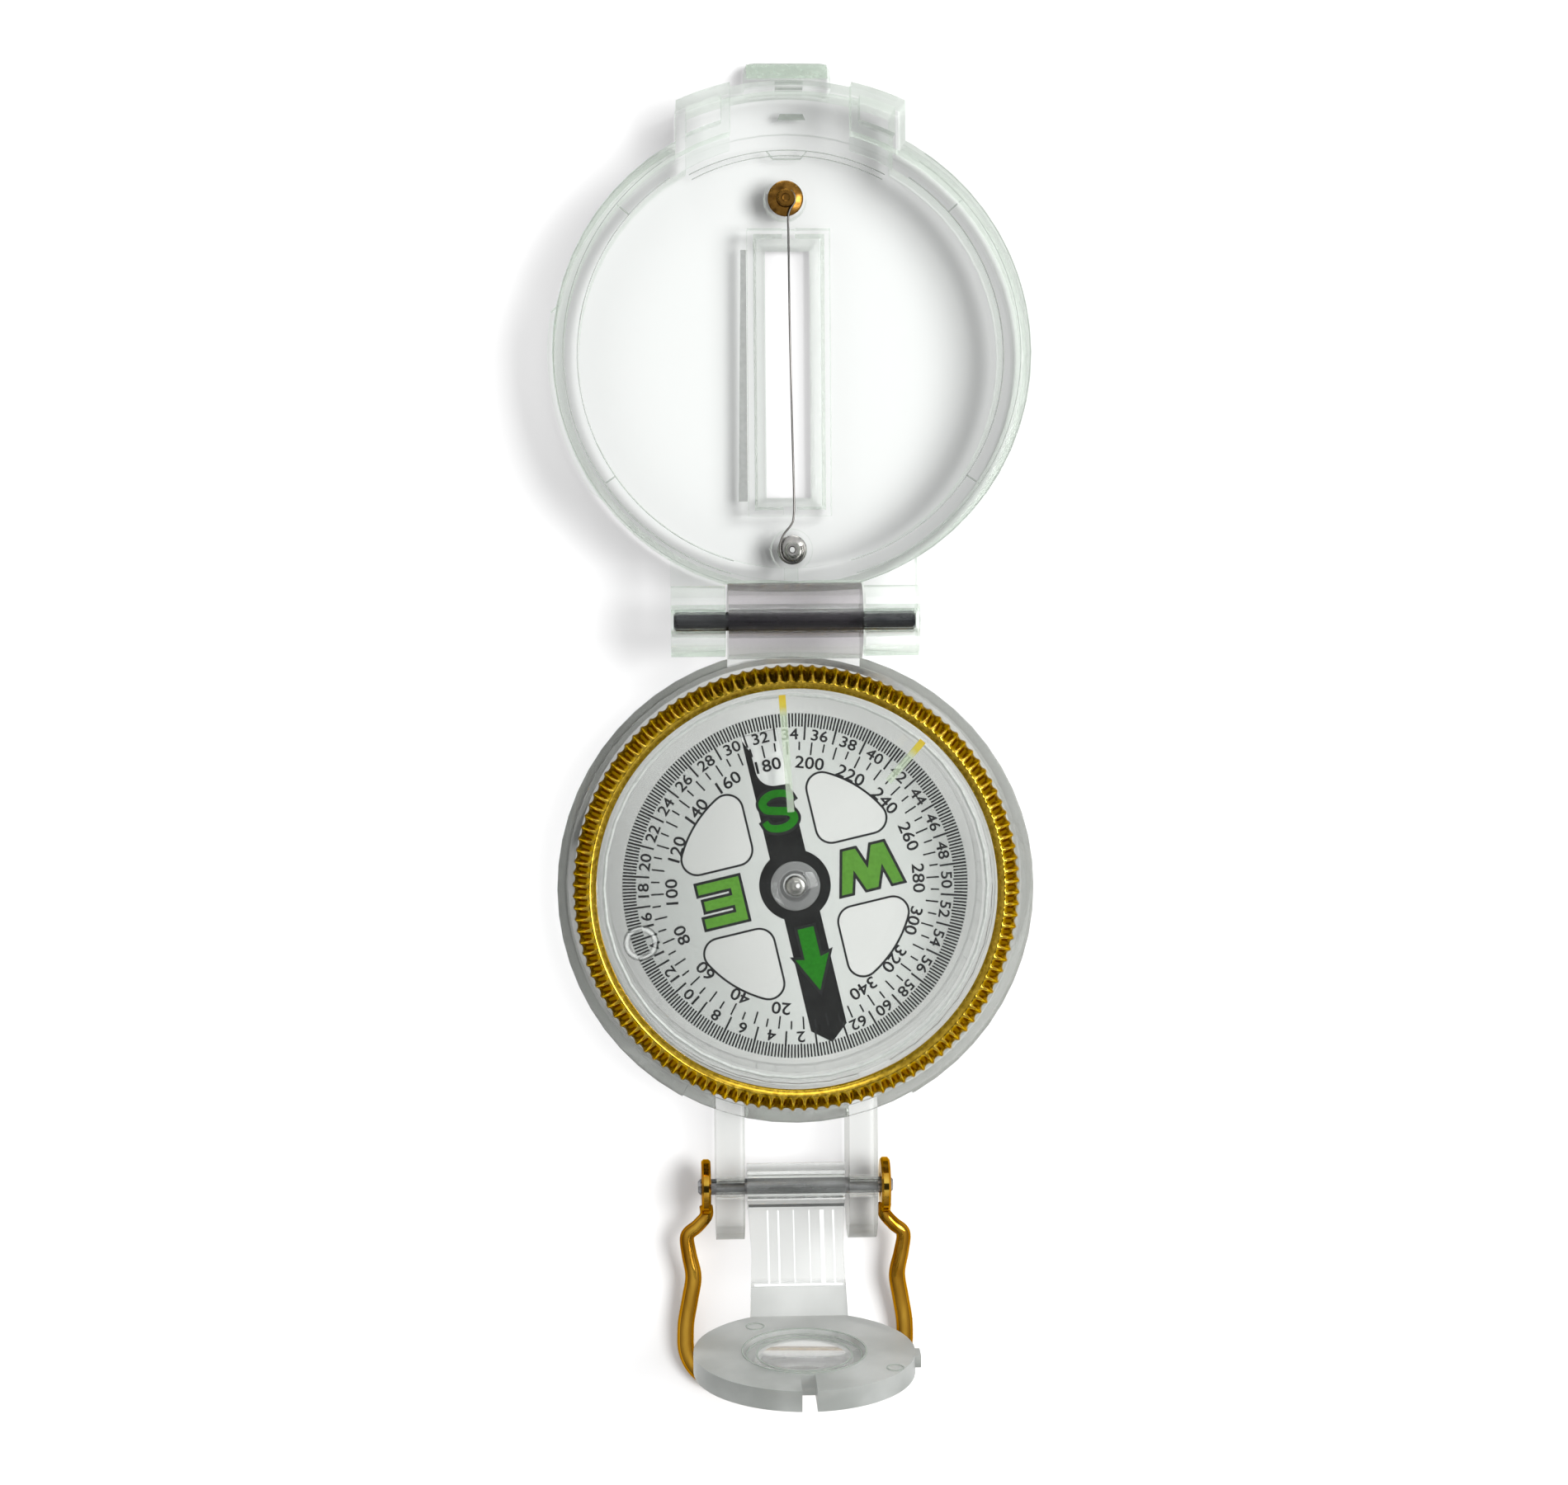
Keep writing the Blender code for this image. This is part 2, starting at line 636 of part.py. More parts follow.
def hood_cutters():
    """The hollows that let the closed eyepiece lie in the hood and its arm come out at the front."""
    inside = HOOD_HALF - HOOD_WALL
    reach = HOOD_RADIUS - HOOD_WALL
    yield prism("pocket", [hood_outline(inside, reach)], LID_FLOOR + 0.01 * MM, HOOD_POCKET_TOP)
    yield prism("mouth", [hood_outline(HOOD_RIB_INNER, reach)], LID_FLOOR + 2 * MM, LID_TOP + 1 * MM)
    yield box(
        "front_notch",
        (-HOOD_RIB_INNER, HOOD_RIB_INNER),
        (LID_CENTRE_Y + 27 * MM, LID_CENTRE_Y + 34 * MM),
        (HOOD_NOTCH_BOTTOM, LID_TOP + 1 * MM),
    )
    for side in (-1, 1):
        low, high = sorted((math.acos(HOOD_RIB_OUTER / reach), math.acos(inside / reach)))
        outline = arc((0, LID_CENTRE_Y), reach, math.degrees(low), math.degrees(high), 5)
        near = CASE_RADIUS + 0.2 * MM
        low, high = math.acos(inside / near), math.acos(HOOD_RIB_OUTER / near)
        outline += arc((0, LID_CENTRE_Y), near, math.degrees(high), math.degrees(low), 5)
        outline = [(side * x, y) for x, y in outline]
        yield prism("side_pocket", [outline], HOOD_POCKET_TOP - 1 * MM, LID_TOP + 1 * MM)


def sighting_wire(axis):
    """The taut wire over the slot and the two rivets that hold its looped ends."""
    loop = RIVET_NECK + WIRE_RADIUS + 0.25 * MM
    path = arc(FAR_RIVET[:2], loop, -355, -70, 18) + arc(NEAR_RIVET[:2], loop, 110, 395, 18)
    finish(tube("wire", [(x, y, WIRE_Z) for x, y in path], WIRE_RADIUS, 1), "sighting_wire", STEEL, axis)
    rivets = (("wire_rivet_far", FAR_RIVET, BRASS), ("wire_rivet_near", NEAR_RIVET, STEEL))
    for name, (x, y, flange), look in rivets:
        rivet = turned(
            name,
            [
                (0, 5.3 * MM),
                (RIVET_NECK * 0.7, 5.3 * MM),
                (RIVET_NECK, 5.1 * MM),
                (RIVET_NECK, 4.45 * MM),
                (flange, 4.4 * MM),
                (flange, RIVET_BOSS_TOP + GAP),
                (0.75 * MM, RIVET_BOSS_TOP + GAP),
                (0.75 * MM, 2.7 * MM),
                (0, 2.7 * MM),
            ],
            SMALL_ROUND,
        )
        finish(moved(rivet, Matrix.Translation((x, y, 0))), name, look, axis)


def eyepiece():
    """The eyepiece bracket, drawn closed about its pivot and then swung open, with its lens."""
    axis = joint_axis("eyepiece_axis", 0, PIVOT_Y, PIVOT_Z)
    swing = Matrix.Translation((0, PIVOT_Y, PIVOT_Z)) @ Matrix.Rotation(EYEPIECE_OPEN, 4, "X")
    at_disc = Matrix.Translation((0, DISC_Y, 0))
    body = moved(
        turned(
            "disc",
            [(0, DISC_TOP), (DISC_RADIUS, DISC_TOP), (DISC_RADIUS, DISC_BOTTOM), (0, DISC_BOTTOM)],
        ),
        at_disc,
    )
    outline = [(ARM_HALF, 0), (ARM_WAIST, 8 * MM), (ARM_HALF, ARM_LENGTH + 2 * MM)]
    outline += [(-x, y) for x, y in outline[::-1]]
    arm = prism("arm", [outline], -ARM_THICK / 2, ARM_THICK / 2)
    arm = moved(arm, Matrix.Rotation(math.pi / 2 - ARM_LEAN, 4, "X"))
    bridge = box(
        "bridge",
        (-ARM_HALF + 0.1 * MM, ARM_HALF - 0.1 * MM),
        (8.1 * MM, 12 * MM),
        (DISC_BOTTOM + 0.05 * MM, DISC_TOP + 0.3 * MM),
    )
    barrel = rod("barrel", EYE_BARREL_RADIUS, (-EYE_BARREL_HALF, EYE_BARREL_HALF), 0, 0)
    nib = box(
        "nib",
        (DISC_RADIUS - 1 * MM, DISC_RADIUS + 0.6 * MM),
        (DISC_Y - 1.2 * MM, DISC_Y + 1.2 * MM),
        (DISC_BOTTOM + 0.4 * MM, DISC_TOP - 0.6 * MM),
    )
    body = join(body, arm, bridge, barrel, nib)
    trim = box("trim", (-9 * MM, 9 * MM), (5 * MM, 20 * MM), (DISC_TOP - 0.01 * MM, DISC_TOP + 6 * MM))
    seat = turned(
        "seat",
        [
            (0, LENS_SEAT_TOP),
            (LENS_SEAT_RADIUS, LENS_SEAT_TOP),
            (LENS_SEAT_RADIUS, DISC_BOTTOM - 1 * MM),
            (0, DISC_BOTTOM - 1 * MM),
        ],
        36,
    )
    hole = turned(
        "hole",
        [
            (0, DISC_TOP + 1 * MM),
            (LENS_HOLE_RADIUS, DISC_TOP + 1 * MM),
            (LENS_HOLE_RADIUS, DISC_BOTTOM),
            (0, DISC_BOTTOM),
        ],
        36,
    )
    far_edge = DISC_Y + DISC_RADIUS
    notch = box(
        "notch",
        (-SIGHT_NOTCH_HALF, SIGHT_NOTCH_HALF),
        (far_edge - SIGHT_NOTCH_DEPTH, far_edge + 1 * MM),
        (DISC_BOTTOM - 1 * MM, DISC_TOP + 1 * MM),
    )
    bore = rod("bore", EYE_PIN_RADIUS + GAP, (-10 * MM, 10 * MM), 0, 0)
    body = cut(body, trim, moved(seat, at_disc), moved(hole, at_disc), notch, bore)
    finish(moved(body, swing), "eyepiece_bracket", FROSTED, axis)

    middle = (DISC_BOTTOM + LENS_SEAT_TOP) / 2 - 0.1 * MM
    crown = [(5.4 * MM * i / 3, 0.45 * MM * (1 - (i / 3) ** 2)) for i in range(4)]
    profile = [(r, middle + 0.3 * MM + lift) for r, lift in crown]
    profile += [(6.7 * MM, middle + 0.3 * MM), (6.7 * MM, middle - 0.3 * MM)]
    profile += [(r, middle - 0.3 * MM - lift) for r, lift in crown[::-1]]
    finish(moved(turned("lens", profile, 36), swing @ at_disc), "eyepiece_lens", GLASS, axis)


def thumb_loop():
    """A bent wire with flattened eyes, drawn along +Y from its pivot and then laid down."""
    axis = joint_axis("thumb_loop_axis", 0, PIVOT_Y, PIVOT_Z)
    swing = Matrix.Translation((0, PIVOT_Y, PIVOT_Z)) @ Matrix.Rotation(math.pi + LOOP_DOWN, 4, "X")
    corner = 5.5
    reach = LOOP_REACH / MM
    leg = [(LOOP_EYE_X / MM, 2.4), (LOOP_EYE_X / MM, 3.6), (11.7, 4.9), (12.9, 6.1), (12.7, 8.4)]
    leg += [(12.2, 11.2), (12.6, 14.0), (13.1, 17.0), (13.2, reach - corner)]
    leg = smooth_path(leg, 3) + arc((13.2 - corner, reach - corner), corner, 15, 90, 6)
    path = leg + [(-x, y) for x, y in leg[::-1]]
    swell = [0.8 + 0.2 * min(1, max(0, (y - 4) / 8)) for _, y in path]
    body = tube("loop", [(x * MM, y * MM, 0) for x, y in path], LOOP_WIRE, 2, swell=swell)
    for side in (-1, 1):
        middle = side * LOOP_EYE_X
        ends = (middle - LOOP_EYE_THICK / 2, middle + LOOP_EYE_THICK / 2)
        body = join(body, rod("eye", LOOP_EYE_RADIUS, ends, 0, 0, BARREL_ROUND))
    body = cut(body, rod("bore", EYE_PIN_RADIUS + GAP, (-20 * MM, 20 * MM), 0, 0))
    finish(moved(body, swing), "thumb_loop", GOLD, axis)


def pin(name, radius, half, y, z):
    """A pin along X with chamfered ends, turned about Z and laid over."""
    chamfer = 0.3 * MM
    shaft = turned(
        name,
        [
            (0, half),
            (radius - chamfer, half),
            (radius, half - chamfer),
            (radius, chamfer - half),
            (radius - chamfer, -half),
            (0, -half),
        ],
        SMALL_ROUND,
    )
    laid = Matrix.Translation((0, y, z)) @ Matrix.Rotation(math.pi / 2, 4, "Y")
    finish(moved(shaft, laid), name, STEEL)


clear_scene()
COLLECTION = bpy.data.collections.new("lensatic_compass")
bpy.context.scene.collection.children.link(COLLECTION)
CLEAR = material("clear_plastic", (0.93, 0.96, 0.94), 0.06, clear=0.9)
FROSTED = material("frosted_plastic", (0.9, 0.92, 0.92), 0.25, clear=0.8)
GLASS = material("lens", (0.97, 0.98, 0.98), 0.02, clear=1.0)
MILKY = material("dial_milky", (0.9, 0.92, 0.91), 0.3, clear=0.6)
BLACK = material("needle_black", (0.02, 0.02, 0.025), 0.35)
LUME = material("luminous_green", (0.72, 0.8, 0.4), 0.5)
RUBBER = material("gasket_rubber", (0.75, 0.77, 0.75), 0.6)
GOLD = material("gold_metal", (0.83, 0.6, 0.1), 0.22, metallic=1.0)
BRASS = material("brass", (0.62, 0.42, 0.16), 0.3, metallic=1.0)
STEEL = material("steel", (0.5, 0.5, 0.52), 0.25, metallic=1.0)

case()
capsule()
bezel_fittings()
bezel()
dial()
lid()
eyepiece()
thumb_loop()
pin("lid_hinge_pin", LID_PIN_RADIUS, LID_BARREL_OUTER - 0.3 * MM, HINGE_Y, HINGE_Z)
pin("eyepiece_pin", EYE_PIN_RADIUS, EYE_PIN_HALF, PIVOT_Y, PIVOT_Z)
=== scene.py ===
"""The looks of a folding lensatic compass in clear plastic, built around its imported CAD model."""

import math

import bmesh
import bpy
from mathutils import Matrix, Vector


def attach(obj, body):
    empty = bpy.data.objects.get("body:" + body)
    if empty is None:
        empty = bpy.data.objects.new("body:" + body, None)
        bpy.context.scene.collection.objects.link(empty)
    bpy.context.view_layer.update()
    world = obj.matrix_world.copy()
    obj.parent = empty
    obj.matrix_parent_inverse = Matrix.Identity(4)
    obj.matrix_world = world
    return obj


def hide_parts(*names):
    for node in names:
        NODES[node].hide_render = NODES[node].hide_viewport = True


MM = 0.001

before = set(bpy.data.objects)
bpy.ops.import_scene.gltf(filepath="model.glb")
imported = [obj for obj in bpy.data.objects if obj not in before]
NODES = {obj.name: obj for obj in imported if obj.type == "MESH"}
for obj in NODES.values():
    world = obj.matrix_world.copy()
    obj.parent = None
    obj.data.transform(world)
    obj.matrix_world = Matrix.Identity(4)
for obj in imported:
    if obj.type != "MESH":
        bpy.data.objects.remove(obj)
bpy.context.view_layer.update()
scene = bpy.context.scene

# ---------------------------------------------------------------- node trees


class Nodes:
    """A node tree under construction: short ways to add nodes to it."""

    def __init__(self, tree):
        self.tree = tree
        self.tree.nodes.clear()

    def node(self, kind, **values):
        made = self.tree.nodes.new("ShaderNode" + kind)
        for name, value in values.items():
            setattr(made, name, value)
        return made

    def link(self, source, target):
        self.tree.links.new(source, target)

    def ramp(self, source, *stops):
        """stops are pairs of a position and a grey or a colour."""
        made = self.node("ValToRGB")
        line = made.color_ramp
        line.elements[0].position, line.elements[1].position = stops[0][0], stops[-1][0]
        while len(line.elements) < len(stops):
            line.elements.new(0.5)
        for element, (position, colour) in zip(line.elements, stops):
            element.position = position
            element.color = (*colour, 1) if isinstance(colour, tuple) else (colour, colour, colour, 1)
        self.link(source, made.inputs[0])
        return made.outputs[0]

    def scaled(self, source, axis, factor):
        """One coordinate of a place times a factor."""
        split = self.node("SeparateXYZ")
        self.link(source, split.inputs[0])
        made = self.node("Math", operation="MULTIPLY")
        made.inputs[1].default_value = factor
        self.link(split.outputs[axis], made.inputs[0])
        return made.outputs[0]

    def lean(self, source, direction):
        """How far a place lies in a direction, counted from 0.5."""
        side = self.node("VectorMath", operation="DOT_PRODUCT")
        side.inputs[1].default_value = direction
        self.link(source, side.inputs[0])
        raised = self.node("Math", operation="ADD")
        raised.inputs[1].default_value = 0.5
        self.link(side.outputs["Value"], raised.inputs[0])
        return raised.outputs[0]

    def tinted(self, colour, tone):
        """The product of a colour, as a tuple or a socket, and a tone."""
        made = self.node("MixRGB", blend_type="MULTIPLY")
        made.inputs[0].default_value = 1
        if isinstance(colour, tuple):
            made.inputs[1].default_value = (*colour, 1)
        else:
            self.link(colour, made.inputs[1])
        self.link(tone, made.inputs[2])
        return made.outputs[0]


# ---------------------------------------------------------------- camera, floor and light

FOCAL_PIXELS = 4048.4  # for an image IMAGE_WIDTH wide
IMAGE_WIDTH = 1900
SENSOR = 36
CAMERA_PLACE = (-18.375, 32.009, 400.01)  # millimetres
PITCH, YAW, ROLL = 0.039, 0.044, 0.009  # radians
TENT_STRENGTH = 0.88
PAPER_GREY = 0.97
TENT_BY_HEIGHT = (
    (0.0, 0.45), (0.12, 0.7), (0.4, 0.9), (0.9, 1.0), (0.962, 0.9), (0.977, 0.05), (1.0, 0.03)
)
TENT_BY_SIDE = ((0.0, 0.55), (0.5, 0.85), (1.0, 1.0))


def add_camera():
    """A long lens high above the compass, looking almost straight down."""
    data = bpy.data.cameras.new("camera")
    data.sensor_fit = "HORIZONTAL"
    data.sensor_width = SENSOR
    data.lens = SENSOR * FOCAL_PIXELS / IMAGE_WIDTH
    data.clip_start, data.clip_end = 0.01, 20
    camera = bpy.data.objects.new("camera", data)
    scene.collection.objects.link(camera)
    turn = Matrix.Rotation(ROLL, 4, "Z") @ Matrix.Rotation(YAW, 4, "Y") @ Matrix.Rotation(PITCH, 4, "X")
    camera.matrix_world = Matrix.Translation([c * MM for c in CAMERA_PLACE]) @ turn.transposed()
    scene.camera = camera


def add_light(name, place, target, size, power):
    """A rectangular lamp that faces its target. Lengths are in metres."""
    data = bpy.data.lights.new(name, "AREA")
    data.shape = "RECTANGLE"
    data.size, data.size_y = size
    data.energy = power
    lamp = bpy.data.objects.new(name, data)
    scene.collection.objects.link(lamp)
    lamp.location = place
    lamp.rotation_euler = (Vector(target) - Vector(place)).to_track_quat("-Z", "Y").to_euler()


def add_world():
    """A light tent, brighter towards the lid's side, with a dark hole above, where the camera looks in."""
    world = bpy.data.worlds.new("studio")
    scene.world = world
    world.use_nodes = True
    tent = Nodes(world.node_tree)
    where = tent.node("TexCoord").outputs["Generated"]
    split = tent.node("SeparateXYZ")
    tent.link(where, split.inputs[0])
    height = tent.ramp(split.outputs["Z"], *TENT_BY_HEIGHT)
    side = tent.ramp(tent.lean(where, (0.2, 0.45, 0)), *TENT_BY_SIDE)
    glow = tent.node("Background")
    glow.inputs["Strength"].default_value = TENT_STRENGTH
    tent.link(tent.tinted(height, side), glow.inputs["Color"])
    plain = tent.node("Background")
    plain.inputs["Color"].default_value = (PAPER_GREY, PAPER_GREY, PAPER_GREY, 1)
    path = tent.node("LightPath")
    mix = tent.node("MixShader")
    tent.link(path.outputs["Is Camera Ray"], mix.inputs[0])
    tent.link(glow.outputs[0], mix.inputs[1])
    tent.link(plain.outputs[0], mix.inputs[2])
    tent.link(mix.outputs[0], tent.node("OutputWorld").inputs["Surface"])


def add_floor():
    """A pale sheet a little below the compass, three metres to each side."""
    mesh = bpy.data.meshes.new("floor")
    half, drop, grey = 3.0, 0.05 * MM, 0.93
    corners = [(-half, -half, 0), (half, -half, 0), (half, half, 0), (-half, half, 0)]
    mesh.from_pydata(corners, [], [(0, 1, 2, 3)])
    floor = bpy.data.objects.new("floor", mesh)
    scene.collection.objects.link(floor)
    floor.location.z = -drop
    made = bpy.data.materials.new("paper")
    made.use_nodes = True
    shader = made.node_tree.nodes["Principled BSDF"]
    shader.inputs["Base Color"].default_value = (grey, grey, grey, 1)
    shader.inputs["Roughness"].default_value = 0.9
    shader.inputs["Specular IOR Level"].default_value = 0.0
    mesh.materials.append(made)


# ---------------------------------------------------------------- materials


class Shade(Nodes):
    """A material under construction."""

    def __init__(self, name):
        self.material = bpy.data.materials.new(name)
        self.material.use_nodes = True
        super().__init__(self.material.node_tree)
        self.out = self.node("OutputMaterial")

    def where(self):
        """A point's place in the piece's own space."""
        return self.node("TexCoord").outputs["Object"]

    def noise(self, scale, detail=2.0, stretch=(1, 1, 1)):
        """Noise in the piece's own space. scale counts its features per metre."""
        mapping = self.node("Mapping")
        mapping.inputs["Scale"].default_value = stretch
        made = self.node("TexNoise")
        made.inputs["Scale"].default_value = scale
        made.inputs["Detail"].default_value = detail
        self.link(self.where(), mapping.inputs[0])
        self.link(mapping.outputs[0], made.inputs["Vector"])
        return made.outputs["Fac"]

    def bump(self, source, strength, distance):
        made = self.node("Bump")
        made.inputs["Strength"].default_value = strength
        made.inputs["Distance"].default_value = distance
        self.link(source, made.inputs["Height"])
        return made.outputs[0]

    def principled(self, colour, roughness, **values):
        """values name further sockets, with _ for each space."""
        made = self.node("BsdfPrincipled")
        made.inputs["Base Color"].default_value = (*colour, 1)
        made.inputs["Roughness"].default_value = roughness
        for name, value in values.items():
            made.inputs[name.replace("_", " ")].default_value = value
        return made

    def facing(self, *stops):
        """A ramp over how far the surface turns away."""
        made = self.node("LayerWeight")
        made.inputs["Blend"].default_value = 0.5
        return self.ramp(made.outputs["Facing"], *stops)

    def mix(self, share, first, second):
        """share is a number or a socket."""
        made = self.node("MixShader")
        if isinstance(share, (int, float)):
            made.inputs[0].default_value = share
        else:
            self.link(share, made.inputs[0])
        self.link(first, made.inputs[1])
        self.link(second, made.inputs[2])
        return made.outputs[0]

    def done(self, surface):
        self.link(surface, self.out.inputs["Surface"])
        return self.material


def clear_plastic(
    name, tint, roughness, ior=1.49, lit=(0.97, 0.55), wave=0.0, haze=0.0, thin=0.0, edge=None, painted_shade_radii=None
):
    """Moulded clear plastic.

    roughness is a pair, from the smoothest spots to the dullest. wave is the strength of its flow marks,
    and haze its share of white. lit says how much lamp light passes it straight: first where the light
    strikes square, then at a flat angle. thin is the share of the view that passes unbent, darkened
    towards the edge colour where the surface turns away. painted_shade_radii lists (radius, tone) stops in
    millimetres for painted shade on a round piece, darker at some radii, on its left side and at the hinge.
    """
    shade = Shade(name)
    glass = shade.principled(tint, roughness[0], IOR=ior, Transmission_Weight=1.0)
    if roughness[1] > 0:
        fine = shade.noise(900, 3.0)
        shade.link(shade.ramp(fine, (0.35, roughness[0]), (0.75, roughness[1])), glass.inputs["Roughness"])
    else:
        cast = shade.noise(60, 2.0)
        paler = tuple(c * 0.985 for c in tint)
        shade.link(shade.ramp(cast, (0.3, paler), (0.7, tint)), glass.inputs["Base Color"])
    # painted shade from the radii given, darkening the plastic's colour
    darkening = wall_tone(shade, painted_shade_radii) if painted_shade_radii else None
    if darkening:
        shade.link(shade.tinted(tint, darkening), glass.inputs["Base Color"])
    if wave:
        flow = shade.noise(160, 1.0, (1, 1, 0.6))
        shade.link(shade.bump(flow, wave, 0.3 * MM), glass.inputs["Normal"])
    surface = glass.outputs[0]
    if haze:
        milk = shade.principled((0.86, 0.88, 0.87), 0.5)
        cloud = shade.ramp(shade.noise(250, 3.0), (0.3, (0.8, 0.82, 0.81)), (0.7, (0.9, 0.92, 0.91)))
        shade.link(cloud, milk.inputs["Base Color"])
        surface = shade.mix(haze, surface, milk.outputs[0])
    if thin:
        straight = shade.node("BsdfTransparent")
        colour = shade.facing((0.1, tint), (0.3, edge))
        shade.link(shade.tinted(colour, darkening) if darkening else colour, straight.inputs[0])
        surface = shade.mix(thin, surface, straight.outputs[0])
    return shade.done(straight_light(shade, surface, lit))


def distance(shade, centre, reach):
    """How far a point lies from an upright axis, as a share of reach. Both are in millimetres."""
    flat = shade.node("Mapping")
    flat.inputs["Location"].default_value = (-centre[0] * MM, -centre[1] * MM, 0)
    level = shade.node("VectorMath", operation="MULTIPLY")
    level.inputs[1].default_value = (1, 1, 0)
    far = shade.node("VectorMath", operation="LENGTH")
    share = shade.node("Math", operation="MULTIPLY")
    share.inputs[1].default_value = 1 / (reach * MM)
    shade.link(shade.where(), flat.inputs[0])
    shade.link(flat.outputs[0], level.inputs[0])
    shade.link(level.outputs[0], far.inputs[0])
    shade.link(far.outputs["Value"], share.inputs[0])
    return share.outputs[0]


WALL_REACH = 30  # millimetres from the case's axis to past its flange
HINGE_REACH = 40  # millimetres from the case's axis to past its hinge


def wall_tone(shade, stops):
    """Painted shade on a round piece: darker at the given radii and on its left side, and a little purple
    on the hinge's barrel.
    """
    around = shade.ramp(
        distance(shade, (0, 0), WALL_REACH), *((radius / WALL_REACH, tone) for radius, tone in stops)
    )
    where = shade.where()
    # painted shade on the left side, away from the key lamp, within the case's round body
    painted_left_shade = shade.ramp(shade.lean(where, (14, 2, 0)), (0.1, 0.6), (0.5, 0.98), (0.9, 1.0))
    left_shade_reach = shade.node("MixRGB")
    left_shade_reach.inputs[2].default_value = (1, 1, 1, 1)
    shade.link(shade.ramp(distance(shade, (0, 0), WALL_REACH), (0.92, 0.0), (0.95, 1.0)), left_shade_reach.inputs[0])
    shade.link(painted_left_shade, left_shade_reach.inputs[1])
    up = shade.scaled(where, "Y", 1 / (HINGE_REACH * MM))
    # painted shade on the hinge's barrel, a little purple
    painted_barrel_shade = shade.ramp(up, (0.69, 1.0), (0.72, (0.8, 0.77, 0.8)))
    return shade.tinted(shade.tinted(around, left_shade_reach.outputs[0]), painted_barrel_shade)


def straight_light(shade, surface, lit):
    """Lets shadow and diffuse rays through a clear surface without bending them."""
    path = shade.node("LightPath")
    through = shade.node("BsdfTransparent")
    shade.link(shade.facing((0.2, lit[0]), (0.55, lit[1])), through.inputs[0])
    surface = shade.mix(path.outputs["Is Diffuse Ray"], surface, through.outputs[0])
    return shade.mix(path.outputs["Is Shadow Ray"], surface, through.outputs[0])


def metal(name, dark, light, roughness, stretch=(1, 1, 1), scale=700, rim=None):
    """Worn metal between two colours. rim lists the tones that a wire takes as its surface turns away: a
    painted highlight along its middle and painted shade towards its flanks.
    """
    shade = Shade(name)
    base = shade.principled(light, roughness[0], Metallic=1.0, Specular_Tint=(*light, 1))
    grain = shade.noise(scale, 4.0, stretch)
    colour = shade.ramp(grain, (0.3, dark), (0.65, light))
    if rim:
        colour = shade.tinted(colour, shade.facing(*rim))
    shade.link(colour, base.inputs["Base Color"])
    shade.link(shade.ramp(grain, (0.3, roughness[1]), (0.7, roughness[0])), base.inputs["Roughness"])
    shade.link(shade.bump(grain, 0.15, 0.05 * MM), base.inputs["Normal"])
    return shade.done(base.outputs[0])


def printed(name, colour, roughness=0.45):
    """Printing ink, laid a little unevenly."""
    shade = Shade(name)
    ink = shade.principled(colour, roughness, Specular_IOR_Level=0.15)
    coat = shade.noise(2500, 3.0)
    lighter = tuple(min(1, c * 1.25 + 0.005) for c in colour)
    shade.link(shade.ramp(coat, (0.35, colour), (0.75, lighter)), ink.inputs["Base Color"])
    shade.link(shade.ramp(coat, (0.3, roughness), (0.8, roughness * 0.7)), ink.inputs["Roughness"])
    return shade.done(ink.outputs[0])


def bezel_gold():
    """Gold plating with darkened grooves. The groove attribute is 1 at the bottom of the knurling."""
    shade = Shade("bezel_gold")
    base = shade.principled((0.5, 0.33, 0.05), 0.2, Metallic=1.0, Specular_Tint=(0.75, 0.52, 0.12, 1))
    grain = shade.noise(1800, 4.0)
    bright = shade.ramp(grain, (0.3, (0.34, 0.21, 0.015)), (0.7, (0.6, 0.41, 0.05)))
    # darker towards the bottom of the grooves and on the skirt, by the groove attribute
    groove_darkening = shade.node("MixRGB")
    darkening = shade.node("Attribute", attribute_name="groove")
    shade.link(shade.ramp(darkening.outputs["Fac"], (0.1, 0.0), (0.9, 0.85)), groove_darkening.inputs[0])
    shade.link(bright, groove_darkening.inputs[1])
    groove_darkening.inputs[2].default_value = (0.1, 0.055, 0.006, 1)
    shade.link(groove_darkening.outputs[0], base.inputs["Base Color"])
    shade.link(shade.ramp(grain, (0.3, 0.16), (0.75, 0.3)), base.inputs["Roughness"])
    shade.link(shade.bump(grain, 0.12, 0.04 * MM), base.inputs["Normal"])
    return shade.done(base.outputs[0])


def card_plastic():
    """The dial card: thin clear plastic with a trace of white in it."""
    shade = Shade("card_plastic")
    milk = shade.principled((0.9, 0.92, 0.91), 0.35)
    cloud = shade.ramp(shade.noise(500, 3.0), (0.3, (0.84, 0.87, 0.86)), (0.7, (0.93, 0.95, 0.94)))
    shade.link(cloud, milk.inputs["Base Color"])
    through = shade.node("BsdfTransparent")
    through.inputs[0].default_value = (0.955, 0.965, 0.96, 1)
    return shade.done(shade.mix(0.006, through.outputs[0], milk.outputs[0]))


BUBBLE_CENTRE = (-18.1, -6.4)
BUBBLE_RADIUS = 2.1


